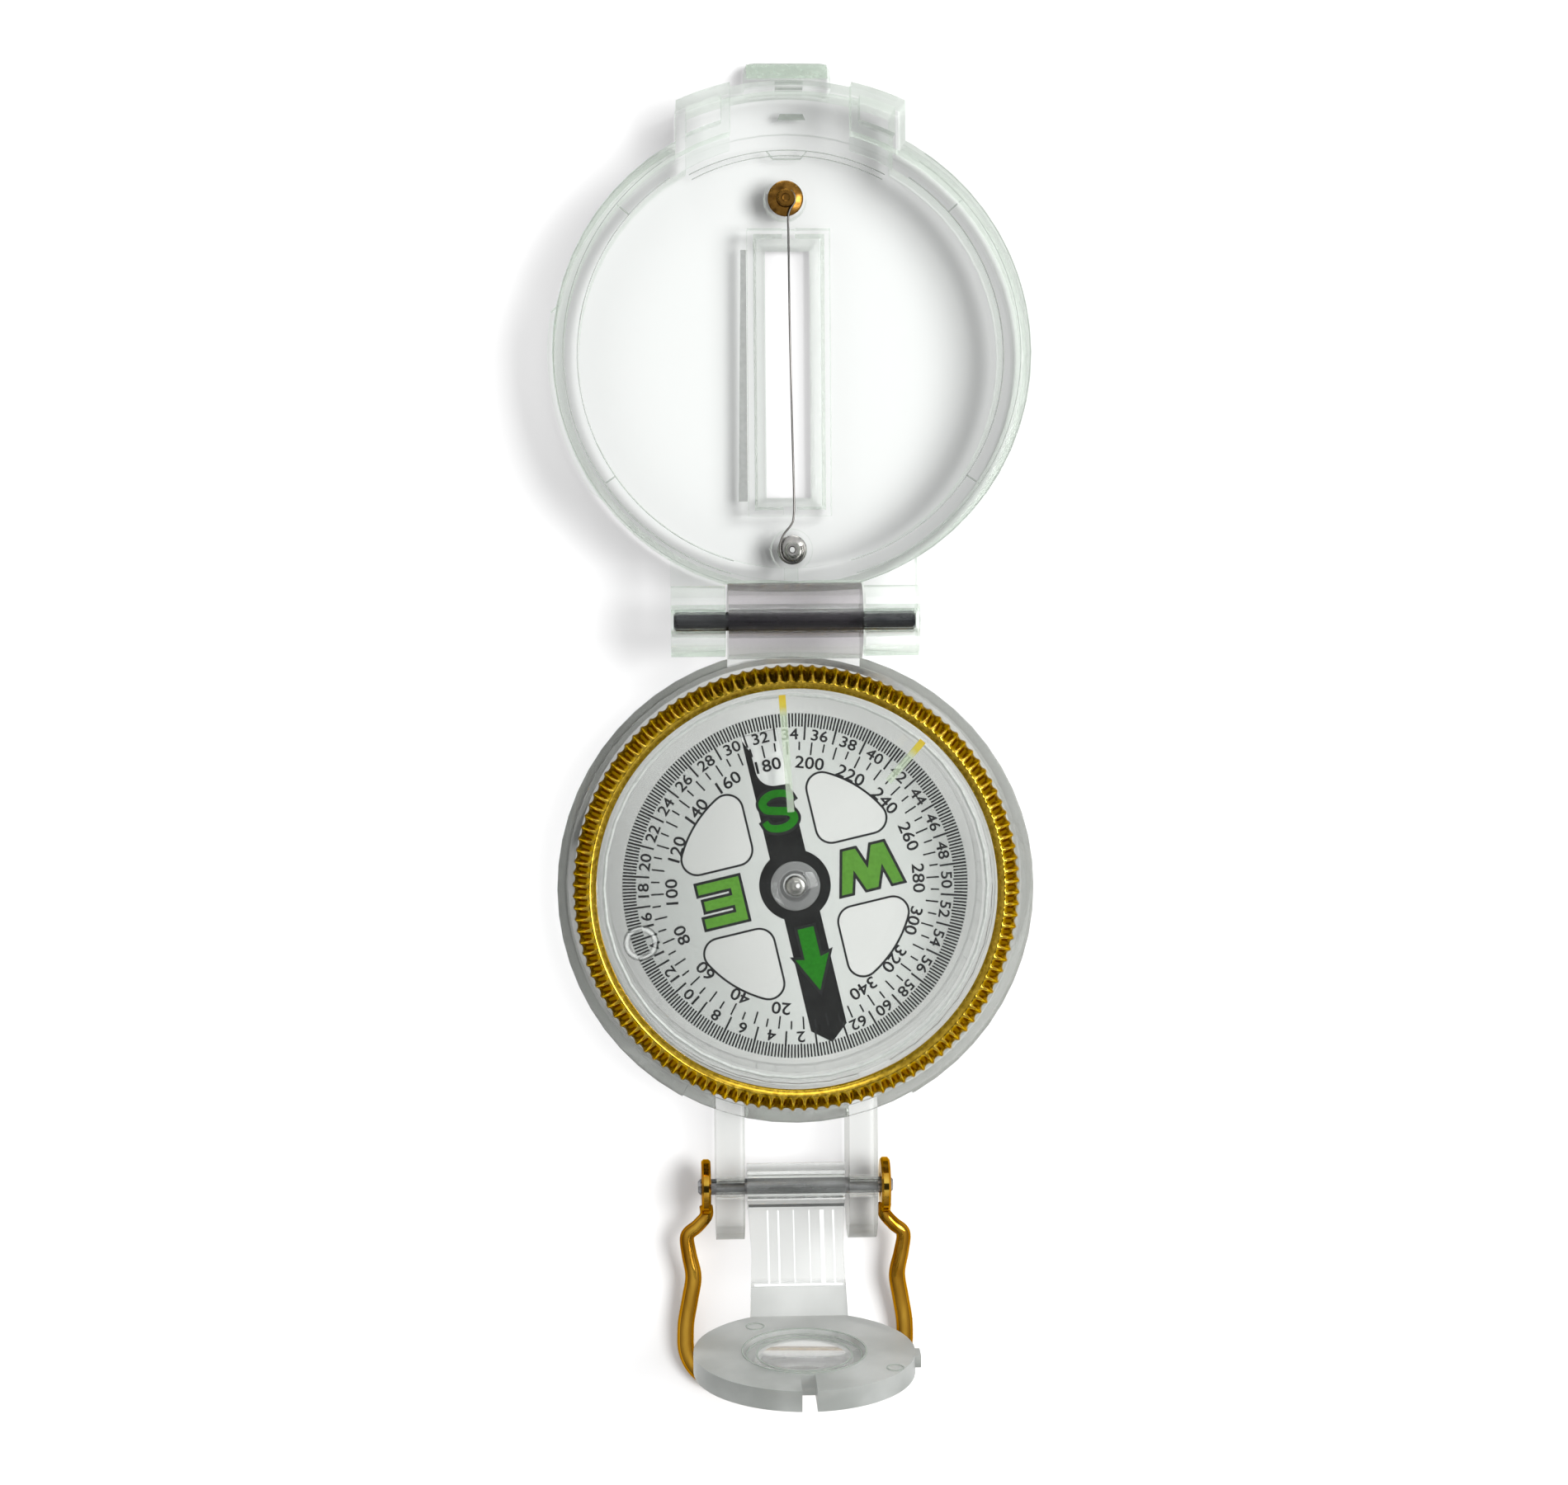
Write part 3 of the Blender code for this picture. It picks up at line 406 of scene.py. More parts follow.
def bubble_skin():
    """The edge of an air drop: clear in the middle, with painted dark rings and a painted highlight ring
    towards its edge, where the drop bends light.
    """
    shade = Shade("bubble_air")
    gloss = shade.principled((1, 1, 1), 0.03, IOR=1.2, Transmission_Weight=1.0)
    shade.link(shade.ramp(shade.noise(400, 1.0), (0.3, 0.95), (0.7, 1.0)), gloss.inputs["Base Color"])
    through = shade.node("BsdfTransparent")
    out = distance(shade, BUBBLE_CENTRE, BUBBLE_RADIUS)
    # painted shade: dark rings where the drop's edge bends light away
    rings = ((0.0, 1.0), (0.58, 1.0), (0.65, 0.78), (0.72, 0.98), (0.86, 0.98), (0.93, 0.66), (1.0, 0.85))
    shade.link(shade.ramp(out, *rings), through.inputs[0])
    white = shade.principled((0.9, 0.92, 0.9), 0.4)
    # painted highlight: a bright ring inside the drop's edge
    painted_highlight_ring = shade.ramp(out, (0.66, 0.0), (0.75, 0.2), (0.84, 0.25), (0.9, 0.0))
    surface = shade.mix(0.85, gloss.outputs[0], through.outputs[0])
    return shade.done(shade.mix(painted_highlight_ring, surface, white.outputs[0]))


def faint_mark(name, colour, cover):
    """A see-through tone, for shallow moulded lines, painted dark lines and painted shade."""
    shade = Shade(name)
    tone = shade.principled(colour, 0.5, Specular_IOR_Level=0.2)
    cloud = shade.noise(1500, 2.0)
    paler = tuple(min(1, c * 1.2) for c in colour)
    shade.link(shade.ramp(cloud, (0.3, colour), (0.7, paler)), tone.inputs["Base Color"])
    through = shade.node("BsdfTransparent")
    return shade.done(shade.mix(cover, through.outputs[0], tone.outputs[0]))


def satin_black():
    """The needle's paint."""
    shade = Shade("satin_black")
    black = shade.principled((0.006, 0.006, 0.007), 0.3, Specular_IOR_Level=0.1)
    shade.link(shade.ramp(shade.noise(900, 3.0), (0.3, 0.26), (0.7, 0.42)), black.inputs["Roughness"])
    shade.link(shade.ramp(shade.noise(400, 3.0), (0.3, 0.004), (0.7, 0.009)), black.inputs["Base Color"])
    return shade.done(black.outputs[0])


def bright_metal():
    """A painted reflection of light on the needle's south end: brushed, paler towards its middle."""
    shade = Shade("bright_metal")
    painted_sheen_shader = shade.principled((0.6, 0.6, 0.6), 0.4, Metallic=0.25)
    grain = shade.noise(700, 3.0, (1, 0.25, 1))
    tone = shade.ramp(grain, (0.3, (0.46, 0.46, 0.46)), (0.7, (0.68, 0.68, 0.67)))
    shade.link(tone, painted_sheen_shader.inputs["Base Color"])
    shade.link(shade.bump(grain, 0.1, 0.03 * MM), painted_sheen_shader.inputs["Normal"])
    return shade.done(painted_sheen_shader.outputs[0])


def frosted_plastic():
    """The eyepiece: clear and glossy at the top of its arm, matt grey from the line across it downward."""
    shade = Shade("frosted_plastic")
    glass = shade.principled((0.95, 0.965, 0.95), 0.1, IOR=1.49, Transmission_Weight=1.0)
    reach = 60  # millimetres from the case's axis to the eyepiece's end
    down = shade.scaled(shade.where(), "Y", -1 / (reach * MM))
    line = 46.8 / reach
    shade.link(shade.ramp(down, (line, 0.05), (line + 0.004, 0.3)), glass.inputs["Roughness"])
    milk = shade.principled((0.5, 0.52, 0.5), 0.45)
    cloud = shade.ramp(
        shade.noise(140, 4.0), (0.35, (0.26, 0.275, 0.26)), (0.65, (0.42, 0.435, 0.42))
    )
    shade.link(cloud, milk.inputs["Base Color"])
    shade.link(shade.bump(shade.noise(2200, 2.0), 0.12, 0.03 * MM), milk.inputs["Normal"])
    share = shade.ramp(down, (line, 0.1), (line + 0.004, 0.34), (0.84, 0.42), (0.87, 0.68))
    surface = shade.mix(share, glass.outputs[0], milk.outputs[0])
    return shade.done(straight_light(shade, surface, (0.9, 0.6)))


def luminous():
    """Luminous paint: yellow at the bezel, then a pale veil that lets the dial show."""
    shade = Shade("luminous_paint")
    paint = shade.principled((0.6, 0.68, 0.4), 0.45, Specular_IOR_Level=0.2)
    reach = 25  # millimetres from the bezel's axis to its edge
    out = distance(shade, (0, 0), reach)
    stops = (
        (0.4, (0.52, 0.6, 0.49)),
        (0.8, (0.5, 0.6, 0.43)),
        (0.845, (0.5, 0.42, 0.04)),
        (0.9, (0.5, 0.36, 0.02)),
    )
    shade.link(shade.ramp(out, *stops), paint.inputs["Base Color"])
    through = shade.node("BsdfTransparent")
    cover = shade.ramp(out, (0.5, 0.36), (0.8, 0.36), (0.86, 0.9))
    return shade.done(shade.mix(cover, through.outputs[0], paint.outputs[0]))


CLEAR = clear_plastic(
    "clear_plastic",
    (0.98, 0.995, 0.983),
    (0.01, 0.03),
    ior=1.38,
    wave=0.04,
    lit=(0.99, 0.42),
    thin=0.42,
    edge=(0.8, 0.87, 0.8),
)
CASE_CLEAR = clear_plastic(
    "case_plastic",
    (0.965, 0.975, 0.96),
    (0.01, 0.03),
    ior=1.42,
    wave=0.04,
    lit=(0.98, 0.75),
    thin=0.4,
    edge=(0.55, 0.56, 0.53),
    # painted shade: darker over the flange, on the left side and on the hinge's barrel
    painted_shade_radii=((23.0, 1.0), (25.0, 0.78), (26.6, 0.92), (27.2, 0.97), (28.0, 0.99), (29.0, 1.0)),
)
CUP = clear_plastic(
    "cup_plastic", (0.98, 0.98, 0.985), (0.0, 0.0), haze=0.16, thin=0.3, edge=(0.5, 0.5, 0.52)
)
PANE = clear_plastic("clear_pane", (0.985, 0.99, 0.985), (0.0, 0.0))
# milky white ribs and line across the arm: painted highlights
RIB_HIGHLIGHT = clear_plastic("arm_ribs_with_painted_highlights", (0.97, 0.98, 0.97), (0.1, 0.2), haze=0.7)
FROSTED = frosted_plastic()
LENS = clear_plastic(
    "lens_plastic", (0.93, 0.935, 0.92), (0.0, 0.04), haze=0.12, thin=0.25, edge=(0.4, 0.4, 0.39)
)
BUBBLE = bubble_skin()
ALONG_X, ALONG_Y = (0.15, 1, 1), (1, 0.15, 1)  # how the grain of a drawn pin or wire is stretched
GOLD = metal(
    "loop_gold",
    (0.45, 0.23, 0.012),
    (0.98, 0.7, 0.13),
    (0.05, 0.12),
    (1, 0.12, 1),
    500,
    # painted highlight along the loop's middle, painted shade towards its flanks
    rim=(
        (0.01, (1.0, 0.95, 0.85)),
        (0.05, (0.85, 0.7, 0.5)),
        (0.15, (0.52, 0.38, 0.22)),
        (0.5, (0.36, 0.23, 0.1)),
    ),
)
STEEL = metal("pin_steel", (0.015, 0.016, 0.018), (0.07, 0.07, 0.074), (0.2, 0.34), ALONG_X)
PALE_STEEL = metal("eyepiece_pin_steel", (0.08, 0.08, 0.082), (0.34, 0.34, 0.35), (0.18, 0.3), ALONG_X)
WIRE = metal("wire_steel", (0.06, 0.06, 0.06), (0.2, 0.19, 0.18), (0.3, 0.4), ALONG_Y)
BRASS = metal("rivet_brass", (0.07, 0.032, 0.006), (0.26, 0.13, 0.025), (0.2, 0.35), scale=1200)
SPRING = metal("spring_steel", (0.25, 0.25, 0.25), (0.55, 0.54, 0.51), (0.2, 0.3))
# moulded marks, and painted dark lines that stand in for refraction at the lid's edges
MARK = faint_mark("mould_marks_and_painted_lines", (0.34, 0.38, 0.34), 0.6)
# painted shade for the tab's sloped end
PAINTED_TAB_SHADE = faint_mark("painted_tab_shade", (0.36, 0.44, 0.36), 0.42)
# painted shadow beside the lid's collar
PAINTED_COLLAR_SHADOW = faint_mark("painted_collar_shadow", (0.42, 0.44, 0.42), 0.5)
RUBBER = printed("gasket_rubber", (0.5, 0.52, 0.5), 0.7)
BLACK_INK = printed("black_ink", (0.01, 0.01, 0.011))
YELLOW_GREEN = printed("light_green_ink", (0.075, 0.215, 0.024), 0.35)
DEEP_GREEN = printed("deep_green_ink", (0.009, 0.13, 0.004), 0.35)
BEZEL_GOLD = bezel_gold()
CARD = card_plastic()
NEEDLE = satin_black()
# painted reflection on the needle's south end
PAINTED_SHEEN = bright_metal()
LUMINOUS = luminous()


def unshaded(*objects):
    """Clear pieces stacked over the dial: too many for a lamp's rays to cross, so they leave no shadow."""
    for obj in objects:
        obj.visible_shadow = False
        obj.visible_diffuse = False


def dress(material, *names):
    """Gives CAD nodes that stay in view their finish."""
    for name in names:
        data = NODES[name].data
        data.materials.clear()
        data.materials.append(material)


# ---------------------------------------------------------------- making meshes, in millimetres


def place(name, data):
    obj = bpy.data.objects.new(name, data)
    scene.collection.objects.link(obj)
    return obj


def cleaned(obj, sharp=35):
    """Outward normals, and smooth shading up to an angle in degrees."""
    work = bmesh.new()
    work.from_mesh(obj.data)
    bmesh.ops.remove_doubles(work, verts=work.verts, dist=0.5e-6)
    bmesh.ops.recalc_face_normals(work, faces=work.faces)
    work.to_mesh(obj.data)
    work.free()
    obj.data.shade_smooth()
    obj.data.set_sharp_from_angle(angle=math.radians(sharp))
    return obj


def from_points(name, points, faces, sharp=35):
    """A mesh from points in millimetres."""
    mesh = bpy.data.meshes.new(name)
    mesh.from_pydata([tuple(c * MM for c in p) for p in points], [], faces)
    return cleaned(place(name, mesh), sharp)


def settled(obj):
    """Applies an object's modifiers, its curve and its place."""
    bpy.context.view_layer.update()
    graph = bpy.context.evaluated_depsgraph_get()
    mesh = bpy.data.meshes.new_from_object(obj.evaluated_get(graph))
    mesh.transform(obj.matrix_world)
    name = obj.name
    bpy.data.objects.remove(obj, do_unlink=True)
    return place(name, mesh)


def ring_points(profile, angle, centre=(0, 0)):
    return [(centre[0] + r * math.cos(angle), centre[1] + r * math.sin(angle), z) for r, z in profile]


def ring_faces(count, size):
    """The faces between closed rings of points, the last joined to the first, as around a turned piece."""
    faces = []
    for i in range(count):
        here, there = i * size, (i + 1) % count * size
        for j in range(size):
            k = (j + 1) % size
            faces.append((here + j, there + j, there + k, here + k))
    return faces


def turned(name, profile, steps=128, centre=(0, 0), sharp=35):
    """Turns a closed profile of (radius, height) about Z. Points on the axis are welded."""
    points = [p for i in range(steps) for p in ring_points(profile, math.tau * i / steps, centre)]
    obj = from_points(name, points, ring_faces(steps, len(profile)), sharp)
    work = bmesh.new()
    work.from_mesh(obj.data)
    bmesh.ops.dissolve_degenerate(work, dist=1e-7, edges=work.edges)
    work.to_mesh(obj.data)
    work.free()
    return cleaned(obj, sharp)


def prism(name, loops, bottom, top, offset=0.0):
    """Raises flat outlines from bottom to top. offset swells them.

    The curve is filled at 1000 times its size, because Blender fills very small ones badly.
    """
    curve = bpy.data.curves.new(name, "CURVE")
    curve.dimensions = "2D"
    curve.fill_mode = "BOTH"
    curve.extrude = (top - bottom) / 2
    curve.offset = offset
    for loop in loops:
        spline = curve.splines.new("POLY")
        spline.points.add(len(loop) - 1)
        for point, (x, y) in zip(spline.points, loop):
            point.co = (x, y, 0, 1)
        spline.use_cyclic_u = True
    obj = place(name, curve)
    obj.matrix_world = Matrix.Scale(MM, 4) @ Matrix.Translation((0, 0, (bottom + top) / 2))
    return cleaned(settled(obj))


def wire(name, points, radius, resolution, swell=None):
    """A round wire along the points. swell lists its relative radius at each."""
    curve = bpy.data.curves.new(name, "CURVE")
    curve.dimensions = "3D"
    curve.bevel_depth = radius * MM
    curve.bevel_resolution = resolution
    curve.use_fill_caps = True
    spline = curve.splines.new("POLY")
    spline.points.add(len(points) - 1)
    for index, (point, spot) in enumerate(zip(spline.points, points)):
        point.co = (*(c * MM for c in spot), 1)
        point.radius = swell[index] if swell else 1.0
    return cleaned(settled(place(name, curve)), 50)


# The sides of a box whose points are four at the bottom, then the four above them.
BOX_FACES = [(3, 2, 1, 0), (4, 5, 6, 7), (0, 1, 5, 4), (1, 2, 6, 5), (2, 3, 7, 6), (3, 0, 4, 7)]


def strip(start, end, half):
    """The four corners of a straight strip from start to end, half wide to each side."""
    start, end = Vector(start), Vector(end)
    along = (end - start).normalized()
    across = Vector((-along.y, along.x)) * half
    return [tuple(c) for c in (start - across, end - across, end + across, start + across)]


def joined(name, pieces):
    """One object from several meshes."""
    work = bmesh.new()
    for piece in pieces:
        work.from_mesh(piece.data)
        bpy.data.objects.remove(piece, do_unlink=True)
    mesh = bpy.data.meshes.new(name)
    work.to_mesh(mesh)
    work.free()
    obj = place(name, mesh)
    obj.data.shade_smooth()
    obj.data.set_sharp_from_angle(angle=math.radians(35))
    return obj


def moved(obj, matrix):
    """Moves a mesh within its object, which stays at the origin."""
    obj.data.transform(matrix)
    return obj


def fitted(obj, body, material, replaces=()):
    """Finishes a piece: its material, the body that carries it and the CAD nodes that it stands for."""
    obj.data.materials.clear()
    obj.data.materials.append(material)
    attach(obj, body)
    if replaces:
        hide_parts(*replaces)
    return obj


def arc(centre, radius, start, end, count):
    steps = [math.radians(start + (end - start) * i / (count - 1)) for i in range(count)]
    return [(centre[0] + radius * math.cos(a), centre[1] + radius * math.sin(a)) for a in steps]


def smooth_path(points, steps):
    """A Catmull-Rom curve through the points."""
    padded = [points[0], *points, points[-1]]
    path = []
    for a, b, c, d in zip(padded, padded[1:], padded[2:], padded[3:]):
        for i in range(steps):
            t = i / steps
            spot = []
            for p, q, r, s in zip(a, b, c, d):
                second, third = 2 * p - 5 * q + 4 * r - s, 3 * q - p - 3 * r + s
                spot.append(q + 0.5 * (r - p) * t + 0.5 * second * t**2 + 0.5 * third * t**3)
            path.append(tuple(spot))
    return [*path, points[-1]]


# ---------------------------------------------------------------- clear shells


def softened(node, name, width, reshape=None):
    """A copy of a CAD node with its triangles merged and its edges rounded, as a mould leaves them."""
    obj = place(name, NODES[node].data.copy())
    work = bmesh.new()
    work.from_mesh(obj.data)
    bmesh.ops.remove_doubles(work, verts=work.verts, dist=2e-6)
    bmesh.ops.dissolve_limit(work, angle_limit=math.radians(1), verts=work.verts, edges=work.edges)
    if reshape:
        reshape(work)
    work.to_mesh(obj.data)
    work.free()
    rounding = obj.modifiers.new("rounding", "BEVEL")
    rounding.width = width * MM
    rounding.segments = 2
    rounding.limit_method = "ANGLE"
    rounding.angle_limit = math.radians(35)
    rounding.miter_outer = "MITER_ARC"
    obj = settled(obj)
    obj.data.shade_smooth()
    obj.data.set_sharp_from_angle(angle=math.radians(40))
    flatter = obj.modifiers.new("flatter", "WEIGHTED_NORMAL")
    flatter.keep_sharp = True
    flatter.weight = 90
    return settled(obj)


def shells():
    case = softened("base_case", "case_shell", 0.25)
    fitted(case, "base", CASE_CLEAR, ["base_case"])
    lid = softened("lid_shell", "lid_shell_clear", 0.2, reshape=refine_lid)
    fitted(lid, "lid", CLEAR, ["lid_shell"])
    eyepiece = softened("eyepiece_bracket", "eyepiece_shell", 0.2)
    fitted(eyepiece, "eyepiece", FROSTED, ["eyepiece_bracket"])


LID_AXIS = (0, 62)
LID_FLOOR, LID_LEDGE, LID_RIM = 2.0, 8.8, 12.78
# The thumb tab's chamfer: where it starts and ends, the tab's top, and the fall.
TAB_LINE, TAB_END, TAB_TOP, TAB_DROP = 94.7, 97.0, 4.0, 2.3


def refine_lid(work):
    """Chamfers the end of the thumb tab, and opens the sighting slot upward into a funnel."""
    floor, collar_top, widening = 1.9, 5.1, 1.5
    side, near, far = (2.6, 2.8), (45.5, 45.8), (74.8, 75.1)  # between which the slot's walls stand
    for spot, direction in (((0, TAB_LINE * MM, 0), (0, 1, 0)), ((0, 0, floor * MM), (0, 0, 1))):
        bmesh.ops.bisect_plane(
            work, geom=[*work.verts, *work.edges, *work.faces], dist=1e-6, plane_co=spot, plane_no=direction
        )
    for vert in work.verts:
        x, y, z = (c / MM for c in vert.co)
        if y > TAB_LINE and z > 2:
            vert.co.z -= TAB_DROP * (y - TAB_LINE) / (TAB_END - TAB_LINE) * min(1, (z - 2) / 1.6) * MM
        elif abs(x) < side[1] and near[0] < y < far[1] and z > floor:
            spread = widening * (z - floor) / (collar_top - floor) * MM
            if abs(x) > side[0]:
                vert.co.x += math.copysign(spread, x)
            if y < near[1] or y > far[0]:
                vert.co.y += math.copysign(spread, y - 60)


def sight():
    """The taut wire over the slot and the two eyelets that hold its ends."""
    path = [
        (0.3, 81.7), (0.75, 81.1), (0.75, 80.3), (0.2, 79.4), (-0.02, 78.4), (0.0, 76.0), (0.08, 65.3),
        (0.25, 55.6), (0.43, 45.9), (0.36, 43.2), (0.05, 42.3), (-0.75, 41.3), (-1.2, 40.3), (-1.25, 39.3),
        (-0.85, 38.3), (0.1, 37.8), (1.1, 38.1), (1.6, 39.0), (1.45, 40.0),
    ]
    height, radius = 4.75, 0.12
    thread = wire("sighting_thread", [(x, y, height) for x, y in smooth_path(path, 5)], radius, 3)
    fitted(thread, "lid", WIRE, ["sighting_wire"])
    brim = [
        (0.4, 5.15), (0.52, 5.28), (0.85, 5.28), (1.05, 5.12), (1.1, 4.5), (1.3, 4.42), (1.9, 4.36),
        (2.1, 4.22), (2.1, 4.0), (1.95, 3.9),
    ]
    far = turned("eyelet_far", [(0, 5.2), (0.3, 5.12), *brim, (0, 3.9)], 64, (-0.3, 80.8))
    fitted(far, "lid", BRASS, ["wire_rivet_far"])
    smaller = 0.83
    open_brim = [(r * smaller, z) for r, z in [(0.4, 4.3), *brim, (0.4, 3.9)]]
    near = turned("eyelet_near", open_brim, 64, (0.2, 39.4))
    fitted(near, "lid", SPRING, ["wire_rivet_near"])


def lid_arc(radius, width, start, end, count):
    """A thin band round the lid's axis."""
    return arc(LID_AXIS, radius, start, end, count) + arc(LID_AXIS, radius + width, end, start, count)


def lid_details():
    """Moulded marks on the lid, painted dark lines along its rims and ledge, painted shade on its tab, a
    painted shadow beside its collar and the lip on its left.
    """
    thin, proud = 0.05, 0.02
    low, high = LID_FLOOR, LID_FLOOR + thin
    outline = [(-1.5, 93.35), (1.75, 93.35), (1.75, 93.7), (-1.5, 93.7)]
    marks = [prism("mark", [outline], TAB_TOP - proud, TAB_TOP - proud + thin)]
    marks.append(prism("mark", [[(-1.1, 90.3), (2.2, 90.3), (1.9, 91.0), (-0.8, 91.0)]], low, high))
    half = 0.09
    step = [(-2.4, 86.6), (-1.7, 85.7), (1.6, 85.7), (2.3, 86.6)]
    for start, end in zip(step, step[1:]):
        marks.append(prism("mark", [strip(start, end, half)], low, high))
    axis = Vector(LID_AXIS)
    for x, y in ((-18.8, 78.4), (18.4, 78.5), (-20.9, 47.8), (21.6, 47.2)):
        along = (Vector((x, y)) - axis).normalized()
        line = strip(axis + along * 24.9, axis + along * 26.3, half)
        marks.append(prism("mark", [line], LID_LEDGE, LID_LEDGE + 0.06))
    # painted dark lines along the ledge and rims, where refraction draws lines at their edges
    for radius, width, height in ((24.85, 0.12, LID_LEDGE), (26.45, 0.1, LID_RIM), (27.55, 0.1, LID_RIM)):
        for start, end in ((124, 254), (-74, 56)):
            marks.append(prism("mark", [lid_arc(radius, width, start, end, 90)], height, height + 0.06))
    fitted(joined("lid_marks", marks), "lid", MARK)
    lines = [prism("line", [lid_arc(r, 0.1, 62, 118, 60)], low, low + 0.06) for r in (24.05, 24.7)]
    fitted(joined("hood_lines", lines), "lid", MARK)

    # painted shade on the tab's chamfer, where the sloped plastic looks darker
    half, near, far = 4.8, 94.9, 96.85
    band = []
    for lift in (0, thin):
        for x, y in ((-half, near), (half, near), (half, far), (-half, far)):
            fall = TAB_DROP / (TAB_END - TAB_LINE) * (y - TAB_LINE)
            band.append((x, y, TAB_TOP + proud - fall + lift))
    fitted(from_points("painted_tab_shade", band, BOX_FACES), "lid", PAINTED_TAB_SHADE)
    # painted shadow cast by the collar on the lid's floor, on its left
    outline = [(-6.0, 45.2), (-4.95, 45.2), (-4.95, 75.0), (-5.6, 75.0)]
    fitted(prism("painted_collar_shadow", [outline], low, low + 0.04), "lid", PAINTED_COLLAR_SHADOW)
    outline = arc(LID_AXIS, 27.6, 168, 218, 40) + arc(LID_AXIS, 28.3, 214, 170, 40)
    fitted(prism("lid_side_lip", [outline], 8.6, 11.8), "lid", CLEAR)


# ---------------------------------------------------------------- bezel


TEETH = 120
TOOTH_SHAPE = (0, 0.05, 0.18, 0.45, 0.85, 1, 0.85, 0.45, 0.18, 0.05)  # height, from groove to groove


def bezel():
    """The toothed gold ring and its crystal."""
    # Pairs of (radius, height): along the crest of a tooth, and along the bottom of a groove beside it.
    slopes = [
        ((24.15, 16.4), (24.1, 16.28)),
        ((24.6, 16.3), (24.4, 15.75)),
        ((25.1, 16.0), (24.8, 15.15)),
        ((25.55, 15.5), (25.2, 14.5)),
        ((25.85, 14.8), (25.55, 13.85)),
        ((26.0, 13.3), (25.72, 13.3)),
        ((25.8, 12.95), (25.55, 12.95)),
    ]
    inside = [
        (23.9, 15.5), (23.2, 15.5), (23.22, 15.7), (23.35, 15.95), (23.6, 16.2), (23.8, 16.36),
        (23.92, 16.4), (24.04, 16.4),
    ]
    skirt = [
        (24.8, 12.95), (24.8, 13.1), (24.4, 13.1), (24.4, 10.7), (24.9, 10.7), (24.9, 10.05), (23.9, 10.05),
    ]
    points, depths = [], []
    steps = TEETH * len(TOOTH_SHAPE)
    for i in range(steps):
        land = TOOTH_SHAPE[i % len(TOOTH_SHAPE)]
        groove = 1 - land
        outside = [
            (r * land + low_r * groove, z * land + low_z * groove) for (r, z), (low_r, low_z) in slopes
        ]
        points += ring_points([*inside, *outside, *skirt], math.tau * i / steps)
        depths += [0] * len(inside) + [0.4 * groove] + [groove] * (len(slopes) - 1) + [0.3] * len(skirt)
    mesh = bpy.data.meshes.new("bezel_toothed")
    size = len(inside) + len(slopes) + len(skirt)
    mesh.from_pydata([tuple(c * MM for c in p) for p in points], [], ring_faces(steps, size))
    mesh.attributes.new("groove", "FLOAT", "POINT").data.foreach_set("value", depths)
    ring = cleaned(place("bezel_toothed", mesh), 50)
    unshaded(fitted(ring, "bezel", BEZEL_GOLD, ["bezel_ring"]))

    profile = [(0, 15.2), (23.45, 15.2), (23.6, 15.05), (23.6, 14.35), (23.45, 14.2), (0, 14.2)]
    crystal = turned("crystal", profile, sharp=30)
    unshaded(fitted(crystal, "bezel", PANE, ["bezel_crystal"]))


# ---------------------------------------------------------------- dial


CARD_TOP = 9.8
INK = 0.02
INK_LOW, INK_HIGH = CARD_TOP + 0.01, CARD_TOP + 0.01 + INK
NORTH = Matrix.Rotation(math.radians(-167), 4, "Z")  # from the dial drawn north up to where it points


def tick(angle, inner, outer, width):
    """The eight corners of a radial mark. angle is in degrees clockwise from north, width to each side."""
    a = math.radians(90 - angle)
    along, across = Vector((math.cos(a), math.sin(a))), Vector((-math.sin(a), math.cos(a)))
    corners = [along * inner - across * width, along * outer - across * width]
    corners += [along * outer + across * width, along * inner + across * width]
    return [(*c, INK_LOW) for c in corners] + [(*c, INK_HIGH) for c in corners]


def number(text, angle, radius, size):
    """A number on the dial with its top outward."""
    curve = bpy.data.curves.new("number", "FONT")
    curve.body = text
    curve.size = size
    curve.align_x = "CENTER"
    curve.align_y = "CENTER"
    curve.extrude = INK / 2
    curve.resolution_u = 3
    curve.bevel_depth = 0.03
    curve.bevel_resolution = 0
    obj = place("number", curve)
    turn = Matrix.Scale(MM, 4) @ Matrix.Rotation(math.radians(-angle), 4, "Z")
    wide = Matrix.Diagonal((1.16, 1, 1, 1))
    obj.matrix_world = turn @ Matrix.Translation((0, radius, INK_LOW + INK / 2)) @ wide
    return settled(obj)


def window_outline(quarter, grow):
    """A quadrant with rounded corners, drawn grow outside the card's opening."""
    edge, reach, corner = 4.0 - grow, 13.6 + grow, 1.7 + grow
    near = edge + corner
    far = math.sqrt((reach - corner) ** 2 - near**2)
    lean = math.degrees(math.atan2(near, far))
    outline = arc((near, near), corner, 180, 270, 10)
    outline += arc((far, near), corner, -90, lean, 12)
    outline += arc((0, 0), reach, lean, 90 - lean, 20)[1:-1]
    outline += arc((near, far), corner, 90 - lean, 180, 12)
    sine, cosine = math.sin(quarter * math.pi / 2), math.cos(quarter * math.pi / 2)
    return [(x * cosine - y * sine, x * sine + y * cosine) for x, y in outline]


